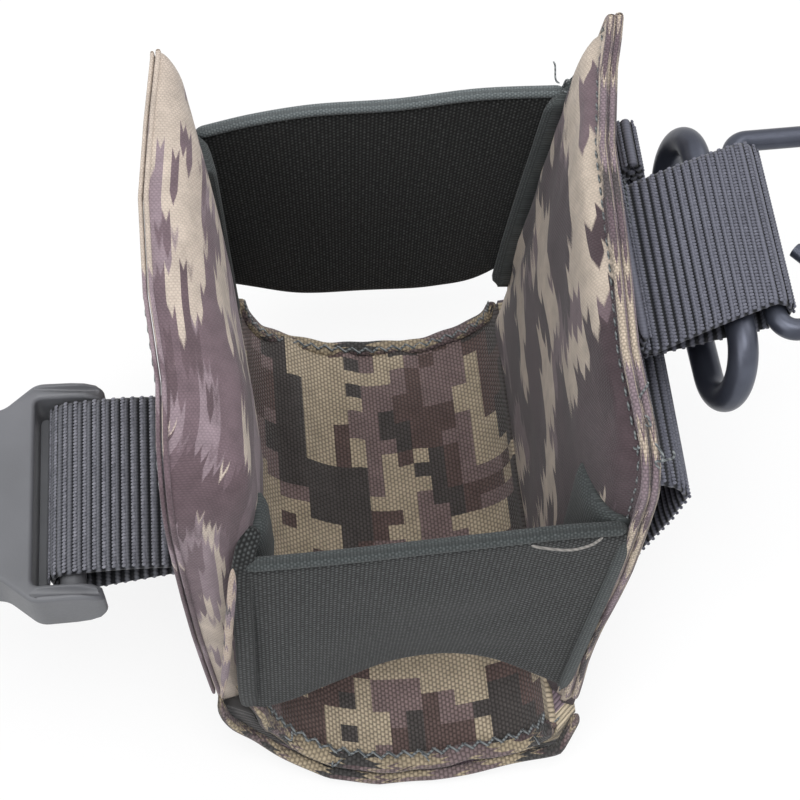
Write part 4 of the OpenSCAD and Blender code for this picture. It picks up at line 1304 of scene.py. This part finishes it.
acetal = moulded_plastic("moulded_acetal_grey", "#5f6063", "#6c6d71")
body_half = [(4.7, SLOT_HALF, 1.0), (0.0, SLOT_HALF, 0), (-1.6, SLOT_HALF, 0), (-2.9, SLOT_HALF, 0),
             (-3.9, SLOT_HALF + 0.2, 0.2), (-4.4, 15.2, 0.8), (-3.2, 15.7, 0), (-1.8, 15.75, 0),
             (0.0, 15.8, 0), (4.6, 15.9, 3.0), (8.8, 12.3, 3.2), (12.8, 11.8, 1.4)]
body_mesh = moulding("buckle_body", body_half + [(x, -y, radius) for x, y, radius in body_half[::-1]],
                     thick=8.0, bevel=0.6)
middle = BUCKLE_BAR[2] * MM
for vertex in body_mesh.vertices:
    past = max(ARM_END - (BUCKLE_BAR[0] - vertex.co.x / MM), 0.0) / ARM_ROUND
    vertex.co.z = middle + (vertex.co.z - middle) * math.sqrt(max(1 - past ** 2, 0.08))
ledge_mesh = moulding("ledge", [(3.4, 14, 0), (5.4, 14, 0), (5.4, -14, 0), (3.4, -14, 0)],
                      thick=1.6, bevel=0.4)
for vertex in ledge_mesh.vertices:
    vertex.co.z -= LEDGE_DROP * MM
guide_mesh = moulding("guide", [(11.5, 2.5, 0), (33.0, 2.5, 1.6), (33.0, -2.5, 1.6), (11.5, -2.5, 0)],
                      thick=4.4, bevel=0.5)
buckle = join("buckle_plug_body", [body_mesh, round_bar(), ledge_mesh, guide_mesh], acetal)
flat_faces(buckle.data)
belongs(buckle, "buckle", "acetal", "buckle_plug")

prong_outline = [(9.0, 7.3, 0.4), (13.5, 7.3, 2), (16.0, 8.2, 4), (30.0, 9.2, 5), (37.2, 6.8, 1.2),
                 (39.0, 8.0, 0.8), (38.0, 10.4, 1.5), (32.5, 15.1, 2.0), (28.0, 15.5, 1.0),
                 (26.4, 13.1, 1.2), (16.0, 11.6, 3), (13.5, 9.9, 2), (9.0, 9.9, 0.4)]
for side, body, node_name in ((1, "prong_back", "plug_prong_back"),
                              (-1, "prong_front", "plug_prong_front")):
    mesh = moulding("prong", prong_outline, thick=4.4, bevel=0.55)
    for vertex in mesh.vertices:
        vertex.co.y = BUCKLE_BAR[1] * MM + side * (vertex.co.y - BUCKLE_BAR[1] * MM)
    prong = join(node_name + "_arm", [mesh], acetal)
    flat_faces(prong.data)
    belongs(prong, body, "acetal", node_name)


# ---- Oval ring, snap hook and gate -------------------------------------------------------
# Steel wire, bent and welded, then powder-coated in a dark blue grey. The gate turns on a
# steel rivet, and a short bent wire keeps the webbing on the hook's bar.
def worn_steel(name, shade, light):
    """Steel under a thin powder coat: slightly orange-peeled and half-gloss, with rubbed
    paler spots. The bare rivet has the same worn face in a paler grey."""
    material, tree = blank_material(name)
    place = add(tree, "ShaderNodeTexCoord", out="Object")
    peel = add(tree, "ShaderNodeTexNoise", {"Vector": place, "Scale": 0.9 / MM, "Detail": 2.0})
    rubbed = add(tree, "ShaderNodeTexNoise", {"Vector": place, "Scale": 0.12 / MM, "Detail": 4.0})
    bump = add(tree, "ShaderNodeBump", {"Strength": 0.3, "Distance": 0.08 * MM, "Height": peel})
    coat = add(tree, "ShaderNodeBsdfPrincipled",
               {"Base Color": shaded(tree, rubbed, (0.5, 0.8), colour(shade), colour(light)),
                "Normal": bump, "Metallic": 0.55, "Roughness": 0.36})
    add(tree, "ShaderNodeOutputMaterial", {"Surface": coat})
    return material


gunmetal = worn_steel("powder_coated_steel_gunmetal", "#41444f", "#565a66")
bare_steel = worn_steel("bare_steel_rivet", "#5c5e62", "#707276")
for node_name, finish in (("oval_ring", gunmetal), ("snap_hook_body", gunmetal),
                          ("snap_hook_gate", gunmetal), ("web_keeper", gunmetal),
                          ("gate_rivet", bare_steel)):
    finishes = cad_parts[node_name].data.materials
    finishes.clear()
    finishes.append(finish)
